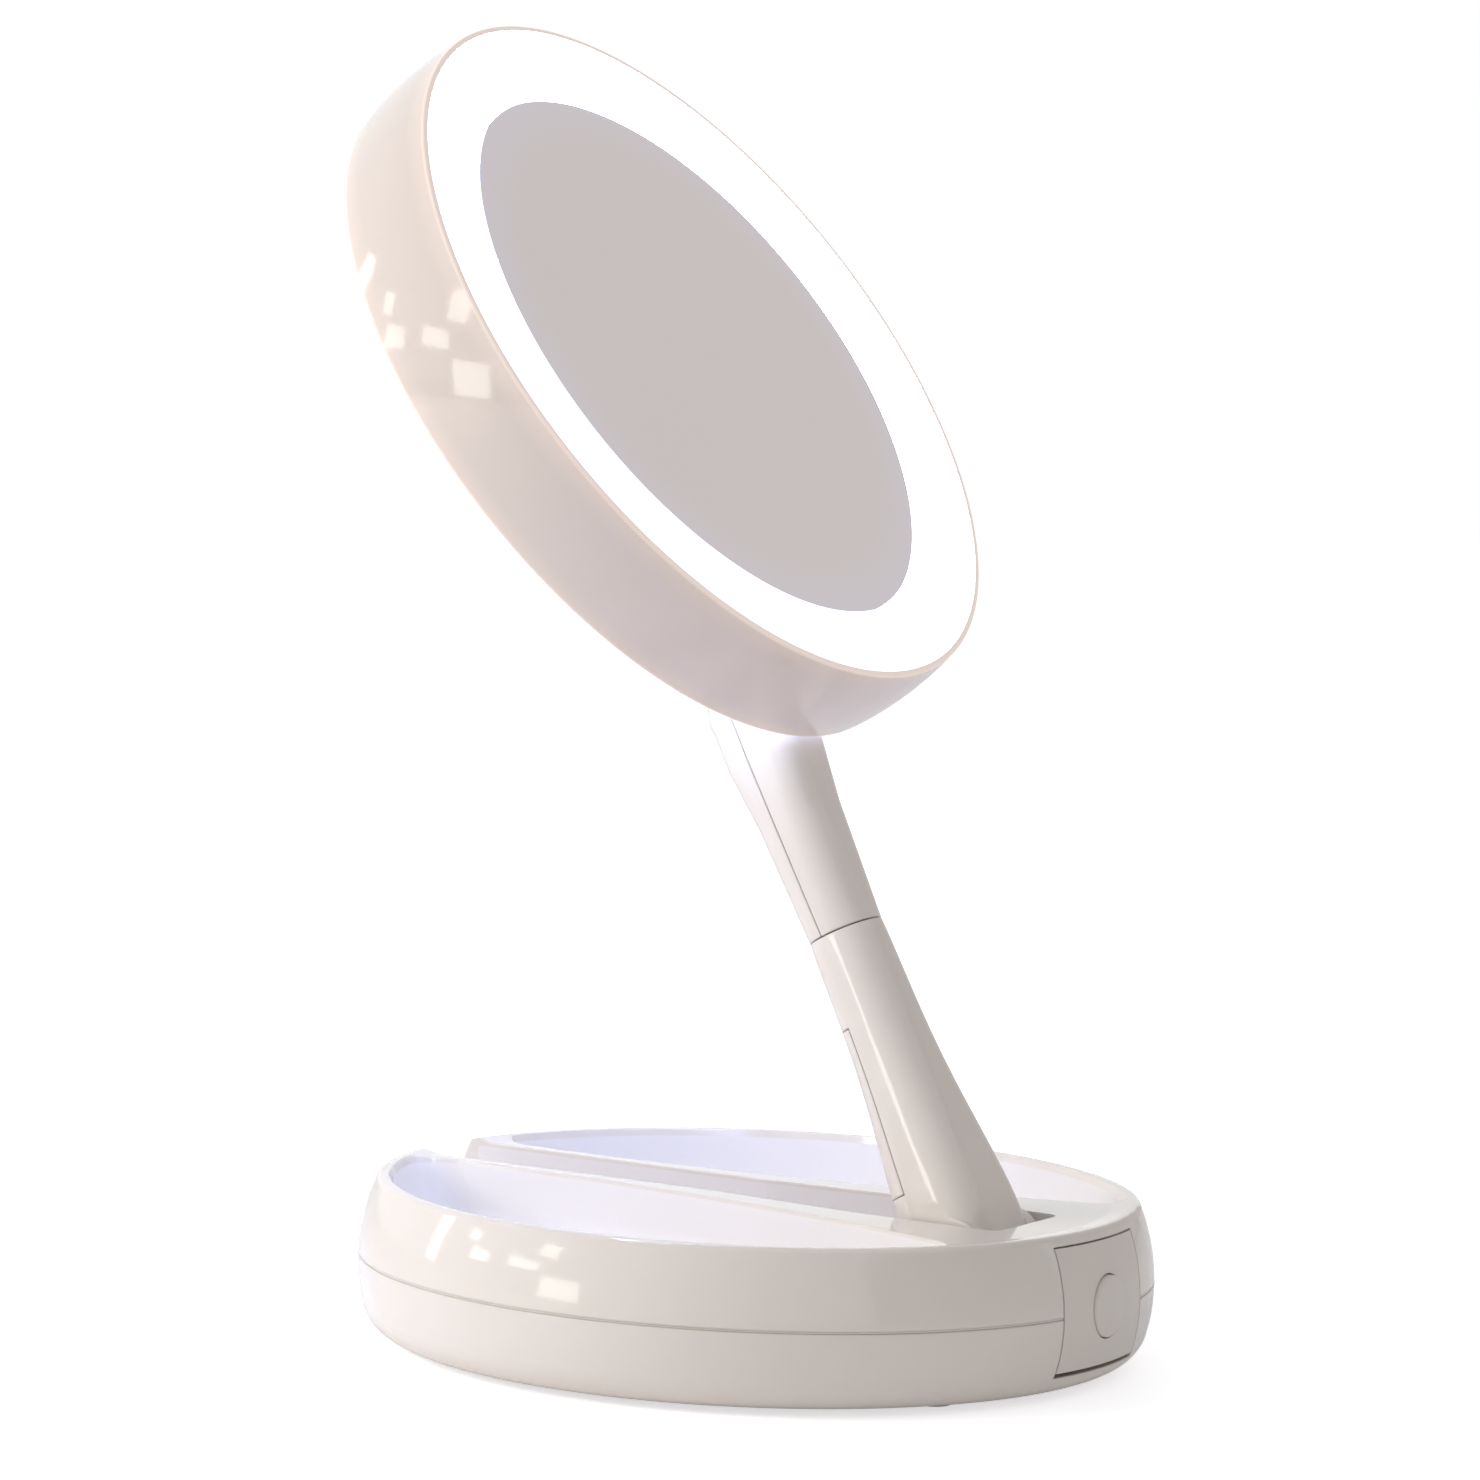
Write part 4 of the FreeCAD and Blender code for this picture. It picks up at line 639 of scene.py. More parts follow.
    @classmethod
    def put(cls, piece: Piece, place: Matrix) -> Piece:
        """Move a piece and settle the move in its mesh."""
        cls.pick(piece)
        piece.matrix_world = place
        bpy.ops.object.transform_apply(location=True, rotation=True, scale=True)
        return piece

    @classmethod
    def copy(cls, piece: Piece, place: Matrix) -> Piece:
        """Copy a piece with its own mesh and settle the copy in a place."""
        cls.pick(piece)
        bpy.ops.object.duplicate(linked=False)
        return cls.put(bpy.context.object, place)

    @classmethod
    def join(cls, name: str, pieces: list[Piece]) -> Piece:
        """Join pieces into one object under a name."""
        cls.pick(*pieces)
        bpy.ops.object.join()
        return cls.named(name)

    @classmethod
    def spread(cls, name: str, piece: Piece, places: list[Matrix]) -> Piece:
        """Copy a piece to several places, throw the first one away and join the copies.

        Args:
            name: the joined piece's name.
            piece: the piece, at the origin.
            places: where the copies go.

        Returns:
            The joined copies.
        """
        copies = [cls.copy(piece, place) for place in places]
        bpy.data.objects.remove(piece)
        return cls.join(name, copies)

    @classmethod
    def carve(cls, piece: Piece, tool: Piece) -> Piece:
        """Cut a tool out of a piece and throw the tool away."""
        cls.pick(piece)
        cutter = piece.modifiers.new("carve", "BOOLEAN")
        cutter.operation = "DIFFERENCE"
        cutter.solver = "EXACT"
        cutter.object = tool
        bpy.ops.object.modifier_apply(modifier=cutter.name)
        bpy.data.objects.remove(tool)
        bpy.ops.object.shade_smooth_by_angle(angle=SMOOTH_ANGLE)
        return piece


class Dresser:
    """Finishes for every material slot, and the calls that hand a piece to its body."""

    def __init__(self, frame: dict[str, object], head: "MirrorHead") -> None:
        """Build every finish.

        Args:
            frame: the loaded frame.
            head: the mirror head, whose place the lit rings follow.
        """
        self.frame = frame
        groups = SurfaceGroups()
        white = (0.80, 0.74, 0.685)
        finishes = {
            Slot.WHITE_GLOSS: MouldedFinish("warm_white_gloss", white, gloss=0.08, smudge=0.04, coat=0.3,
                                            soft_edge=0.7 * MM),
            Slot.PANEL: MouldedFinish("warm_white_satin", (0.77, 0.71, 0.655), gloss=0.3, smudge=0.06,
                                      grain_scale=1600.0, grain_depth=0.00002),
            Slot.LIGHT_RING: LitDiffuser("lit_milky_ring", (0.94, 0.95, 0.97), (0.5, 0.6, 1.0), 18.0, head),
            Slot.MIRROR: SilveredGlass("silvered_glass_with_painted_edge_light", (0.9, 0.9, 0.9), head),
            Slot.INNER_WHITE: MouldedFinish("plain_white_moulding", (0.82, 0.81, 0.79), gloss=0.45),
            Slot.BOARD: BoardFinish("green_board", (0.012, 0.075, 0.028), (0.03, 0.16, 0.05)),
            Slot.CHIP: MouldedFinish("black_package", (0.012, 0.012, 0.013), gloss=0.5, mottle=0.08),
            Slot.LAMP: MouldedFinish("lamp_phosphor", (0.9, 0.84, 0.45), gloss=0.35),
            Slot.STEEL: MetalFinish("plated_steel", (0.58, 0.58, 0.6), gloss=0.2),
            Slot.NYLON: MouldedFinish("natural_nylon", (0.72, 0.71, 0.66), gloss=0.45),
            Slot.RUBBER: MouldedFinish("pale_rubber", (0.66, 0.63, 0.6), gloss=0.62, mottle=0.05, smudge=0.12,
                                       grain_scale=2400.0, grain_depth=0.00003),
            Slot.CELL: MouldedFinish("dark_sleeve", (0.03, 0.035, 0.045), gloss=0.28, mottle=0.05),
            Slot.WIRE: MouldedFinish("red_wire_jacket", (0.5, 0.02, 0.02), gloss=0.4, mottle=0.06),
        }
        self.materials = {slot: finish.material(groups) for slot, finish in finishes.items()}
        rim = LitRimFinish("warm_white_rim_with_painted_light", (0.735, 0.65, 0.605), gloss=0.08, smudge=0.04, coat=0.3,
                           soft_edge=0.5 * MM, head=head)
        trays = TrayFinish("warm_white_trays_with_painted_light", white, gloss=0.08, smudge=0.04, coat=0.3, soft_edge=0.7 * MM)
        self.special = {"head_rim": rim.material(groups), "base_upper_shell": trays.material(groups)}

    def paint(self, piece: Piece, slot: Slot) -> None:
        """Give a piece one finish all over."""
        piece.data.materials.clear()
        piece.data.materials.append(self.materials[slot])

    def dress_nodes(self) -> None:
        """Give every CAD node the finish of its slot in the record."""
        for entry in self.frame["record"]["subparts"]:
            self.paint(self.frame["nodes"][entry["node"]], Slot(entry["material_slot"]))
        for node, material in self.special.items():
            self.frame["nodes"][node].data.materials[0] = material

    def hand_over(self, piece: Piece, body: str, slot: Slot, *nodes: str) -> None:
        """Finish a new piece and let it ride on its body.

        Args:
            piece: the new piece, in place.
            body: the body that it moves with.
            slot: its material slot.
            nodes: the CAD nodes that it stands for.
        """
        if not piece.data.materials:
            self.paint(piece, slot)
        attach(piece, body)
        if nodes:
            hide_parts(*nodes)
        LOG.info("%s rides on %s", piece.name, body)


@dataclass
class MirrorHead:
    """The round head with a mirror and a lit ring on each face."""

    centre: Vector = Vector((0.0, 29.4606 * MM, 202.8035 * MM))
    tilt: float = math.radians(36.8)
    half: float = 11.7 * MM
    ring_inner: float = 66.3 * MM
    ring_outer: float = 81.27 * MM
    ring_face: float = 11.5 * MM
    ring_back: float = 9.3 * MM
    ring_crown: float = 0.15 * MM
    flange_radius: float = 67.8 * MM
    flange_end: float = 8.6 * MM
    mirror_radius: float = 66.0 * MM
    mirror_face: float = 9.6 * MM
    mirror_back: float = 7.6 * MM
    mirror_bevel: float = 0.9 * MM
    magnifier_sag: float = 1.1 * MM
    tongue_half_width: float = 5.4 * MM
    tongue_low: float = 78.5 * MM
    tongue_high: float = 68.1 * MM
    lamp_count: int = 24

    def place(self, side: Side) -> Matrix:
        """Give the place of a face, whose z axis looks out of it."""
        quarter = QUARTER_TURN if side is Side.FRONT else -QUARTER_TURN
        lean = Matrix.Rotation(-self.tilt, 4, "X")
        return Matrix.Translation(self.centre) @ lean @ Matrix.Rotation(quarter, 4, "X")

    def build(self, dresser: Dresser) -> None:
        """Model both faces and dress them."""
        for side in Side:
            dresser.hand_over(self.light_ring(side), "head", Slot.LIGHT_RING, f"{side.value}_light_ring")
            dresser.hand_over(self.mirror(side), "head", Slot.MIRROR, f"{side.value}_mirror")

    def light_ring(self, side: Side) -> Piece:
        """Model the crowned ring that spreads the light.

        Args:
            side: the face that it lies in.

        Returns:
            The ring, in place.
        """
        edge = 0.2 * MM
        width = self.ring_outer - self.ring_inner
        profile = [(self.ring_inner, self.flange_end), (self.ring_inner, self.ring_face - edge),
                   (self.ring_inner + edge, self.ring_face)]
        arc_steps = 8
        for step in range(1, arc_steps):
            share = step / arc_steps
            profile.append((self.ring_inner + edge + share * (width - 2 * edge),
                            self.ring_face + self.ring_crown * math.sin(math.pi * share)))
        profile += [(self.ring_outer - edge, self.ring_face), (self.ring_outer, self.ring_face - edge),
                    (self.ring_outer, self.ring_back), (self.flange_radius, self.ring_back),
                    (self.flange_radius, self.flange_end)]
        ring = Bench.turn(f"{side.value}_lit_ring", profile, closed=True)
        if side is Side.BACK:
            middle = (self.tongue_low + self.tongue_high) / 2
            size = Vector((2 * self.tongue_half_width, self.tongue_low - self.tongue_high, 2 * self.half))
            gate = Bench.block("ring_gate", size, Vector((0.0, middle, self.half)), 0.3 * MM)
            ring = Bench.carve(ring, gate)
        return Bench.put(ring, self.place(side))

    def mirror(self, side: Side) -> Piece:
        """Model the glass, plain in front and hollow-ground to magnify at the back.

        Args:
            side: the face that it lies in.

        Returns:
            The mirror, in place.
        """
        flat_radius = self.mirror_radius - self.mirror_bevel
        sag = self.magnifier_sag if side is Side.BACK else 0.0
        rings = 24
        face: Profile = []
        for step in range(rings + 1):
            share = step / rings
            face.append((flat_radius * share, self.mirror_face - sag * (1 - share * share)))
        drop = self.mirror_bevel / 3
        profile = face + [(self.mirror_radius, self.mirror_face - drop), (self.mirror_radius, self.mirror_back),
                          (0.0, self.mirror_back)]
        return Bench.put(Bench.turn(f"{side.value}_glass", profile), self.place(side))


@dataclass
class PushButton:
    """The round push button in the front panel."""

    centre: Vector = Vector((0.0, -84.0 * MM, 18.7 * MM))
    radius: float = 6.4 * MM
    proud: float = 0.7 * MM
    dome_radius: float = 36.0 * MM
    edge: float = 0.45 * MM
    flange_setback: float = 3.9 * MM
    flange_radius: float = 7.7 * MM
    flange_thickness: float = 1.2 * MM
    stem_radius: float = 1.6 * MM
    stem_length: float = 3.0 * MM

    def build(self, dresser: Dresser) -> None:
        """Model the button and dress it."""
        dome = self.radius - self.edge
        rings = 8
        profile: Profile = []
        for step in range(rings + 1):
            radius = dome * step / rings
            profile.append((radius, self.proud - radius ** 2 / (2 * self.dome_radius)))
        shoulder = profile[-1][1]
        for turn in (30.0, 60.0, 90.0):
            angle = math.radians(turn)
            profile.append((dome + self.edge * math.sin(angle), shoulder - self.edge * (1 - math.cos(angle))))
        back = -self.flange_setback - self.flange_thickness
        profile += [(self.radius, -self.flange_setback), (self.flange_radius, -self.flange_setback),
                    (self.flange_radius, back), (self.stem_radius, back),
                    (self.stem_radius, back - self.stem_length), (0.0, back - self.stem_length)]
        button = Bench.turn("domed_button", profile, steps=96)
        Bench.put(button, Matrix.Translation(self.centre) @ Matrix.Rotation(QUARTER_TURN, 4, "X"))
        dresser.hand_over(button, "button", Slot.PANEL, "power_button")


@dataclass(frozen=True)
class CrossScrew:
    """A screw with a domed head and a cross recess."""

    head_radius: float
    head_height: float
    shank_radius: float
    shank_length: float

    def make(self, name: str) -> Piece:
        """Model the screw upright, with its head below zero and its shank above."""
        dome = self.head_height * 0.35
        head = [(0.0, 0.0), (0.5, 0.2), (0.82, 0.55), (1.0, 1.4)]
        profile = [(self.head_radius * share, -self.head_height + dome * rise) for share, rise in head]
        profile += [(self.head_radius, 0.0), (self.shank_radius, 0.0),
                    (self.shank_radius, self.shank_length - self.shank_radius),
                    (self.shank_radius * 0.45, self.shank_length), (0.0, self.shank_length)]
        screw = Bench.turn(name, profile, steps=48)
        long_side, short_side, deep = self.head_radius * 1.25, self.head_radius * 0.26, self.head_height * 0.9
        for size in ((long_side, short_side, deep), (short_side, long_side, deep)):
            slot = Bench.block(f"{name}_slot", Vector(size), Vector((0.0, 0.0, -self.head_height)), 0.06 * MM,
                               segments=1)
            screw = Bench.carve(screw, slot)
        return screw


@dataclass
class BaseUnderside:
    """Feet, screws and battery doors on the underside of the base."""

    foot_radius: float = 4.0 * MM
    foot_height: float = 2.3 * MM
    foot_circle: float = 68.0 * MM
    foot_angle: float = math.radians(27.0)
    screw_spots: tuple[tuple[float, float], ...] = ((22.2 * MM, -54.5 * MM), (-22.2 * MM, -54.5 * MM),
                                                    (16.5 * MM, 69.5 * MM), (-16.5 * MM, 69.5 * MM))
    screw_seat: float = 9.0 * MM
    screw: CrossScrew = CrossScrew(2.5 * MM, 1.8 * MM, 1.3 * MM, 12.5 * MM)
    door_middle: float = 35.6 * MM
    door_half_width: float = 15.3 * MM
    door_half_length: float = 31.7 * MM
    door_bottom: float = 1.3 * MM
    door_top: float = 3.5 * MM
    grip_width: float = 14.0 * MM
    grip_length: float = 11.0 * MM
    grip_inset: float = 10.0 * MM
    rib_count: int = 5
    rib_pitch: float = 1.9 * MM

    def build(self, dresser: Dresser) -> None:
        """Model each kind of piece and dress it."""
        dresser.hand_over(self.feet(), "base", Slot.RUBBER, "rubber_feet")
        dresser.hand_over(self.screws(), "base", Slot.STEEL, "base_screws")
        for name, side in {"left": -1, "right": 1}.items():
            dresser.hand_over(self.door(name, side), f"{name}_battery_door", Slot.WHITE_GLOSS,
                              f"battery_door_{name}")

    def feet(self) -> Piece:
        """Model one dished rubber foot and copy it to the four corners."""
        lip = 0.5 * MM
        outline = [(0.0, lip), (0.55, lip), (0.68, lip * 0.4), (0.78, 0.0), (0.9, 0.06 * MM),
                   (0.975, lip * 0.5), (1.0, lip * 1.2), (1.0, self.foot_height), (0.0, self.foot_height)]
        profile = [(self.foot_radius * share, rise) for share, rise in outline]
        foot = Bench.turn("soft_foot", profile, steps=64)
        across = self.foot_circle * math.sin(self.foot_angle)
        along = self.foot_circle * math.cos(self.foot_angle)
        return Bench.spread("soft_feet", foot, [Matrix.Translation((east * across, north * along, 0.0))
                                                for east in (-1, 1) for north in (-1, 1)])

    def screws(self) -> Piece:
        """Model one cross-head screw and copy it to the four posts."""
        return Bench.spread("base_cross_screws", self.screw.make("base_cross_screw"),
                            [Matrix.Translation((*spot, self.screw_seat)) for spot in self.screw_spots])

    def door(self, name: str, side: int) -> Piece:
        """Model a battery door with a ribbed thumb grip.

        Args:
            name: which door.
            side: -1 for the left door, 1 for the right one.

        Returns:
            The door, in place.
        """
        size = Vector((2 * self.door_half_width, 2 * self.door_half_length, self.door_top - self.door_bottom))
        middle = Vector((side * self.door_middle, 0.0, (self.door_top + self.door_bottom) / 2))
        door = Bench.block(f"door_plate_{name}", size, middle, 0.35 * MM)
        grip_y = -self.door_half_length + self.grip_inset
        hollow = Bench.block("grip_hollow", Vector((self.grip_width, self.grip_length, 1.6 * MM)),
                             Vector((middle.x, grip_y, self.door_bottom)), 0.4 * MM)
        door = Bench.carve(door, hollow)
        rib_size = Vector((self.grip_width - 1.0 * MM, 0.8 * MM, 0.9 * MM))
        rib_height = self.door_bottom + 0.6 * MM
        ribs = []
        for index in range(self.rib_count):
            rib_y = grip_y + (index - (self.rib_count - 1) / 2) * self.rib_pitch
            spot = Vector((middle.x, rib_y, rib_height))
            ribs.append(Bench.block(f"grip_rib_{index}", rib_size, spot, 0.2 * MM))
        return Bench.join(f"ribbed_door_{name}", [door, *ribs])


@dataclass
class UpperArmScrews:
    """The two screws in the back of the upper arm."""

    foot: Vector = Vector((0.0, -52.7 * MM, 24.75 * MM))
    lean: float = math.radians(27.8)
    height: float = 111.5 * MM
    offset: float = 4.0 * MM
    seat: float = 3.4 * MM
    screw: CrossScrew = CrossScrew(1.7 * MM, 1.3 * MM, 1.0 * MM, 6.8 * MM)

    def build(self, dresser: Dresser) -> None:
        """Model one cross-head screw, copy it to both wells and dress the pair."""
        along = Vector((0.0, math.sin(self.lean), math.cos(self.lean)))
        inwards = Vector((0.0, -math.cos(self.lean), math.sin(self.lean)))
        turn = Matrix((Vector((1.0, 0.0, 0.0)), along, inwards)).transposed().to_4x4()
        middle = self.foot + along * self.height - inwards * self.seat
        pair = Bench.spread("arm_cross_screws", self.screw.make("arm_cross_screw"), [
            Matrix.Translation(middle + Vector((side * self.offset, 0.0, 0.0))) @ turn for side in (-1, 1)])
        dresser.hand_over(pair, "upper_arm", Slot.STEEL, "upper_arm_screws")


@dataclass
class PowerFittings:
    """Coil springs behind the cells, and the tongue in the charging socket."""

    bay_offset: float = 35.6 * MM
    cell_pitch: float = 15.2 * MM
    wire_radius: float = 0.35 * MM
    base_radius: float = 3.6 * MM
    tip_radius: float = 2.2 * MM
    turns: int = 6
    turn_steps: int = 24
    tongue_half_width: float = 2.1 * MM
    tongue_thickness: float = 0.7 * MM
    tongue_depth: float = 2.4 * MM
    tongue_setback: float = 0.5 * MM

    def build(self, dresser: Dresser) -> None:
        """Model the springs and the tongue and dress them."""
        dresser.hand_over(self.springs(), "base", Slot.STEEL, "battery_springs")
        dresser.hand_over(self.tongue(), "base", Slot.CHIP)

    def springs(self) -> Piece:
        """Wind one tapered spring and copy it to the four cells."""
        low, high = (Vector(corner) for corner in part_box("battery_springs"))
        length = high.y - low.y - 2 * self.wire_radius
        coil_radius = self.base_radius - self.wire_radius
        Bench.clear()
        bpy.ops.mesh.primitive_circle_add(vertices=8, radius=self.wire_radius, enter_editmode=True)
        coil = bpy.context.object
        bpy.ops.transform.rotate(value=QUARTER_TURN, orient_axis="X", center_override=(0.0, 0.0, 0.0))
        bpy.ops.transform.translate(value=(coil_radius, 0.0, self.wire_radius))
        bpy.ops.object.mode_set(mode="OBJECT")
        winding = coil.modifiers.new("winding", "SCREW")
        winding.angle = FULL_TURN * self.turns
        winding.screw_offset = length
        winding.steps = winding.render_steps = self.turn_steps * self.turns
        bpy.ops.object.modifier_apply(modifier=winding.name)
        taper = coil.modifiers.new("taper", "SIMPLE_DEFORM")
        taper.deform_method = "TAPER"
        taper.deform_axis = "Z"
        taper.factor = (self.tip_radius - self.wire_radius) / coil_radius - 1.0
        bpy.ops.object.modifier_apply(modifier=taper.name)
        bpy.ops.object.mode_set(mode="EDIT")
        bpy.ops.mesh.select_all(action="SELECT")
        bpy.ops.mesh.fill_holes(sides=0)
        Bench.finish_mesh(coil)
        lay = Matrix.Rotation(-QUARTER_TURN, 4, "X")
        height = (low.z + high.z) / 2
        return Bench.spread("coil_springs", coil, [
            Matrix.Translation((bay * self.bay_offset + column * self.cell_pitch / 2, low.y, height)) @ lay
            for bay in (-1, 1) for column in (-1, 1)])

    def tongue(self) -> Piece:
        """Model the tongue that stands in the mouth of the charging socket."""
        low, high = (Vector(corner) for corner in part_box("charging_socket"))
        middle = (low + high) / 2
        size = Vector((2 * self.tongue_half_width, self.tongue_depth, self.tongue_thickness))
        centre = Vector((middle.x, high.y - self.tongue_setback - self.tongue_depth / 2, middle.z))
        return Bench.block("socket_tongue", size, centre, 0.15 * MM)


@dataclass
class SeamLip:
    """The lip of the lower shell that stands in the seam round the base."""

    inner: float = 83.2 * MM
    outer: float = 83.82 * MM
    low: float = 17.82 * MM
    high: float = 18.28 * MM
    edge: float = 0.1 * MM
    gate_half_width: float = 17.0 * MM
    gate_depth: float = 10.0 * MM

    def build(self, dresser: Dresser) -> None:
        """Model the lip, open it where the button panel stands, and dress it."""
        crest = self.outer - self.edge
        profile = [(self.inner, self.low), (crest, self.low), (self.outer, self.low + self.edge),
                   (self.outer, self.high - self.edge), (crest, self.high), (self.inner, self.high)]
        lip = Bench.turn("seam_lip", profile, steps=240, closed=True)
        size = Vector((2 * self.gate_half_width, 2 * self.gate_depth, self.gate_depth))
        gate = Bench.block("lip_gate", size, Vector((0.0, -self.outer, self.low)), 0.1 * MM)
        dresser.hand_over(Bench.carve(lip, gate), "base", Slot.WHITE_GLOSS)


@dataclass
class PhotoStudio:
    """Camera, lamps, floor and background."""

    focal: float = 145.946
    azimuth: float = math.radians(-59.29)
    elevation: float = math.radians(4.72)
    roll: float = math.radians(2.25)
    distance: float = 1.25731
    target: Vector = Vector((0.0, 0.0, 0.1223))
    slide: tuple[float, float] = (-0.00749, 0.0059)
    ambient: float = 0.46
    window_power: float = 17.0
    window_reach: float = 1.7
    window_swing: float = 12.0
    window_rise: float = 24.0
    window_size: tuple[float, float] = (1.1, 0.8)
    window_tint: Colour = (1.0, 0.97, 0.92)
    window_aim: Vector = Vector((0.0, 0.0, 0.12))
    pane_aim: Vector = Vector((0.0, 0.0, 0.05))
    pane_tint: Colour = (1.0, 0.98, 0.93)
    pane_glow: float = 5.0
    pane_shine: float = 0.5
    pane_spots: tuple[tuple[float, float, float, float], ...] = (
        (-15.0, 12.0, 5.0, 22.0), (-1.0, 16.5, 4.0, 4.5), (4.0, 10.5, 7.0, 4.5), (20.0, 12.5, 10.0, 4.5),
        (27.0, 21.0, 6.5, 7.0), (33.5, 4.0, 13.0, 9.0))
    wall_aim: Vector = Vector((0.0, 0.03, 0.2))
    mirrored_way: Vector = Vector((0.857, -0.222, 0.465))
    mirrored_grey: Colour = (0.63, 0.58, 0.57)
    side_grey: Colour = (0.5, 0.48, 0.47)
    floor_colour: Colour = (0.93, 0.93, 0.94)
    floor_tint: Colour = (0.98, 0.98, 1.0)
    floor_radius: float = 4.0
    floor_roughness: float = 0.6
    floor_lift: float = 0.57
    floor_bounce: float = 0.08

    def axes(self) -> tuple[Vector, Vector, Vector]:
        """Give the camera's right, up and back directions."""
        a, e = self.azimuth, self.elevation
        back = Vector((math.sin(a) * math.cos(e), -math.cos(a) * math.cos(e), math.sin(e)))
        right = Vector((math.cos(a), math.sin(a), 0.0))
        up = back.cross(right)
        c, s = math.cos(self.roll), math.sin(self.roll)
        return c * right + s * up, c * up - s * right, back

    def build(self) -> None:
        """Set up the camera, the lamps, the floor and the background."""
        self.camera()
        self.world()
        self.window()
        self.panes()
        self.floor()
        self.reflected_room()
        bpy.context.scene.view_settings.view_transform = "Standard"

    def camera(self) -> None:
        """Stand the camera where the photograph was taken from."""
        right, up, back = self.axes()
        data = bpy.data.cameras.new("photo_camera")
        data.lens = self.focal
        data.sensor_width = 36.0
        data.dof.use_dof = False
        camera = bpy.data.objects.new("photo_camera", data)
        bpy.context.scene.collection.objects.link(camera)
        spot = self.target + back * self.distance + right * self.slide[0] + up * self.slide[1]
        turn = Matrix((right, up, back)).transposed().to_4x4()
        camera.matrix_world = Matrix.Translation(spot) @ turn
        bpy.context.scene.camera = camera

    def world(self) -> None:
        """Make the background white to the eye and a softer level to everything else."""
        world = bpy.data.worlds.new("pale_room")
        bpy.context.scene.world = world
        world.use_nodes = True
        graph = Graph(world.node_tree)
        path = graph.add("LightPath").outputs
        seen = graph.math("MAXIMUM", path["Is Camera Ray"], path["Is Glossy Ray"])
        seen = graph.math("MAXIMUM", seen, path["Is Transmission Ray"])
        level = graph.ramp(seen, low=self.ambient)
        light = graph.add("Background", {"Color": (1.0, 1.0, 1.0, 1.0), "Strength": level})
        graph.add("OutputWorld", {"Surface": light.outputs[0]})

    def direction(self, swing: float, rise: float) -> Vector:
        """Give a direction from the object.

        Args:
            swing: degrees from the camera's left towards the camera.
            rise: degrees above level.

        Returns:
            The direction, of length one.
        """
        right, _, back = self.axes()
        turn, climb = math.radians(swing), math.radians(rise)
        level = math.sin(turn) * back - math.cos(turn) * right
        level.z = 0.0
        level.normalize()
        return math.cos(climb) * level + Vector((0.0, 0.0, math.sin(climb)))

    def window(self) -> None:
        """Hang a wide soft lamp to the left of the camera, where the window is."""
        way = self.direction(self.window_swing, self.window_rise)
        data = bpy.data.lights.new("window_light", "AREA")
        data.shape = "RECTANGLE"
        data.size, data.size_y = self.window_size
        data.energy = self.window_power
        data.color = self.window_tint
        lamp = bpy.data.objects.new("window_light", data)
        bpy.context.scene.collection.objects.link(lamp)
        lamp.location = self.window_aim + way * self.window_reach
        lamp.rotation_euler = (-way).to_track_quat("-Z", "Y").to_euler()
        lamp.visible_glossy = False

    def panes(self) -> None:
        """Hang the window's panes, which only glossy surfaces show."""
        material = self.glowing("window_panes", self.pane_tint, self.pane_glow, self.pane_shine)
        for index, (swing, rise, *spread) in enumerate(self.pane_spots):
            size = tuple(self.window_reach * math.radians(angle) for angle in spread)
            way = self.direction(swing, rise)
            self.hang(f"window_pane_{index}", self.pane_aim, way, self.window_reach, size, material)

    @staticmethod
    def glowing(name: str, colour: Colour, strength: float, specular: float) -> Material:
        """Make the material of a card that glows evenly.

        Args:
            name: the material's name.
            colour: the colour of its glow.
            strength: the strength of its glow.
            specular: its own shine.

        Returns:
            The new material.
        """
        surface = Surface(name)
        surface.feed({"Base Color": shade(BLACK), "Specular IOR Level": specular,
                      "Emission Color": shade(colour), "Emission Strength": strength})
        return surface.material

    @staticmethod
    def hang(name: str, middle: Vector, way: Vector, reach: float, size: tuple[float, float],
             material: Material) -> None:
        """Hang a flat card that faces the object and leave it to glossy surfaces alone.

        Args:
            name: the card's name.
            middle: the place that it faces.
            way: the direction from there to the card.
            reach: how far off it hangs.
            size: its width and height.
            material: its material.
        """
        Bench.clear()
        bpy.ops.mesh.primitive_plane_add(size=1.0)
        card = Bench.named(name)
        card.scale = (*size, 1.0)
        card.location = middle + way.normalized() * reach
        card.rotation_euler = (-way).to_track_quat("Z", "Y").to_euler()
        card.data.materials.append(material)
        card.visible_camera = card.visible_diffuse = card.visible_shadow = False

    def floor(self) -> None:
        """Lay a pale floor that keeps the shadow and is clear from below."""
        Bench.clear()
        bpy.ops.mesh.primitive_circle_add(vertices=96, radius=self.floor_radius, fill_type="NGON")
        floor = Bench.named("pale_floor")
        surface = Surface("pale_floor")
        eye = surface.add("LightPath").outputs["Is Camera Ray"]
        below = surface.add("NewGeometry").outputs["Backfacing"]
        surface.feed({"Base Color": shade(self.floor_colour), "Roughness": self.floor_roughness,
                      "Emission Color": shade(self.floor_tint),
                      "Emission Strength": surface.ramp(eye, low=self.floor_bounce, high=self.floor_lift),
                      "Alpha": surface.math("SUBTRACT", 1.0, below)})
        floor.data.materials.append(surface.material)

    def reflected_room(self) -> None:
        """Hang the grey walls that the front mirror and the right flanks show."""
        right, _, back = self.axes()
        walls = [("mirrored_wall", self.mirrored_way, 2.0, (2.4, 2.4), self.mirrored_grey),
                 ("wall_behind", right - 0.9 * back, 2.6, (3.4, 2.6), self.side_grey),
                 ("wall_beside", right + 0.5 * back, 2.6, (3.0, 2.6), self.side_grey)]
        for name, way, reach, size, colour in walls:
            self.hang(name, self.wall_aim, way, reach, size, self.glowing(name, colour, 1.0, 0.0))


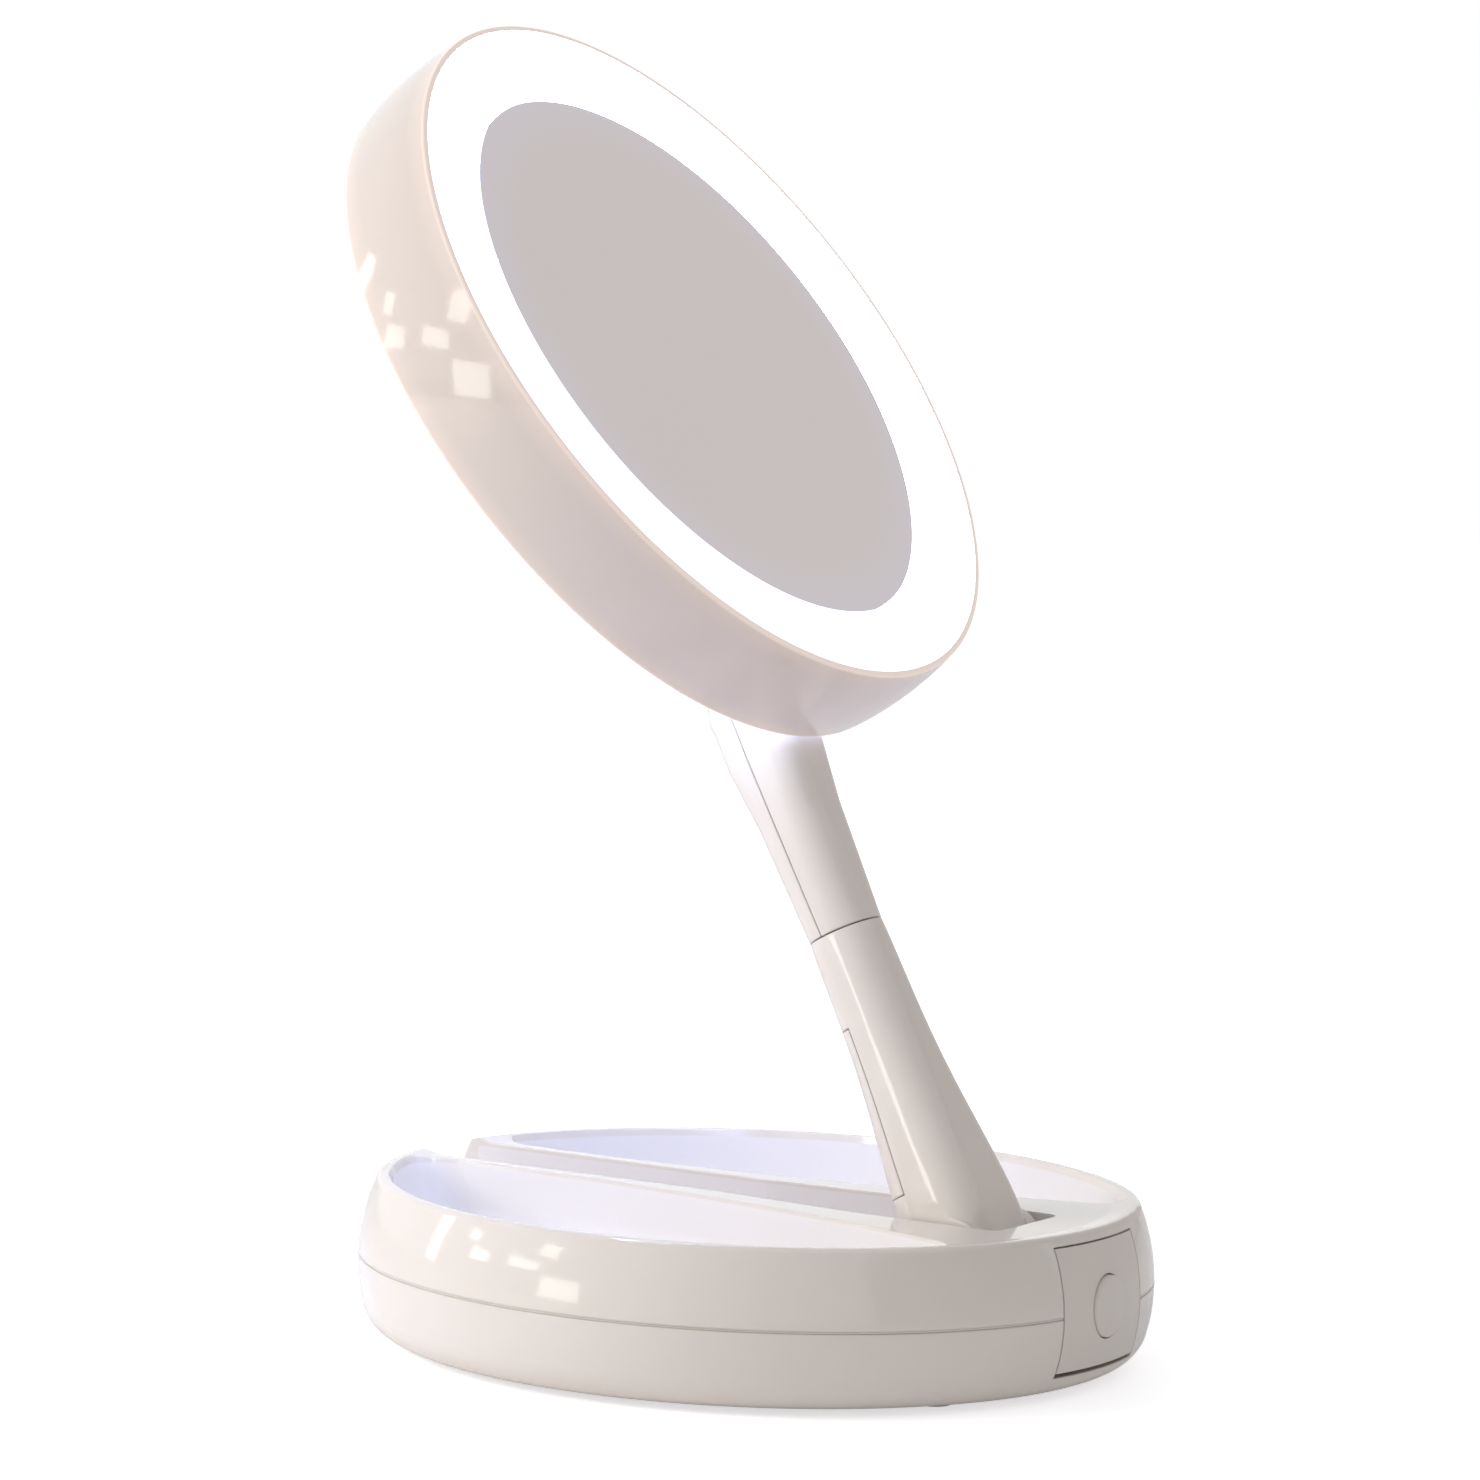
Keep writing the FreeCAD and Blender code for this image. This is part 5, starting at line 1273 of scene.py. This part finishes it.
def main() -> None:
    """Load the frame, build each sub-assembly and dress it."""
    logging.basicConfig(level=logging.INFO, format="%(name)s: %(message)s")
    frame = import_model()
    head = MirrorHead()
    dresser = Dresser(frame, head)
    dresser.dress_nodes()
    for assembly in (head, PushButton(), BaseUnderside(), UpperArmScrews(), PowerFittings(), SeamLip()):
        assembly.build(dresser)
    PhotoStudio().build()


if __name__ == "__main__":
    main()
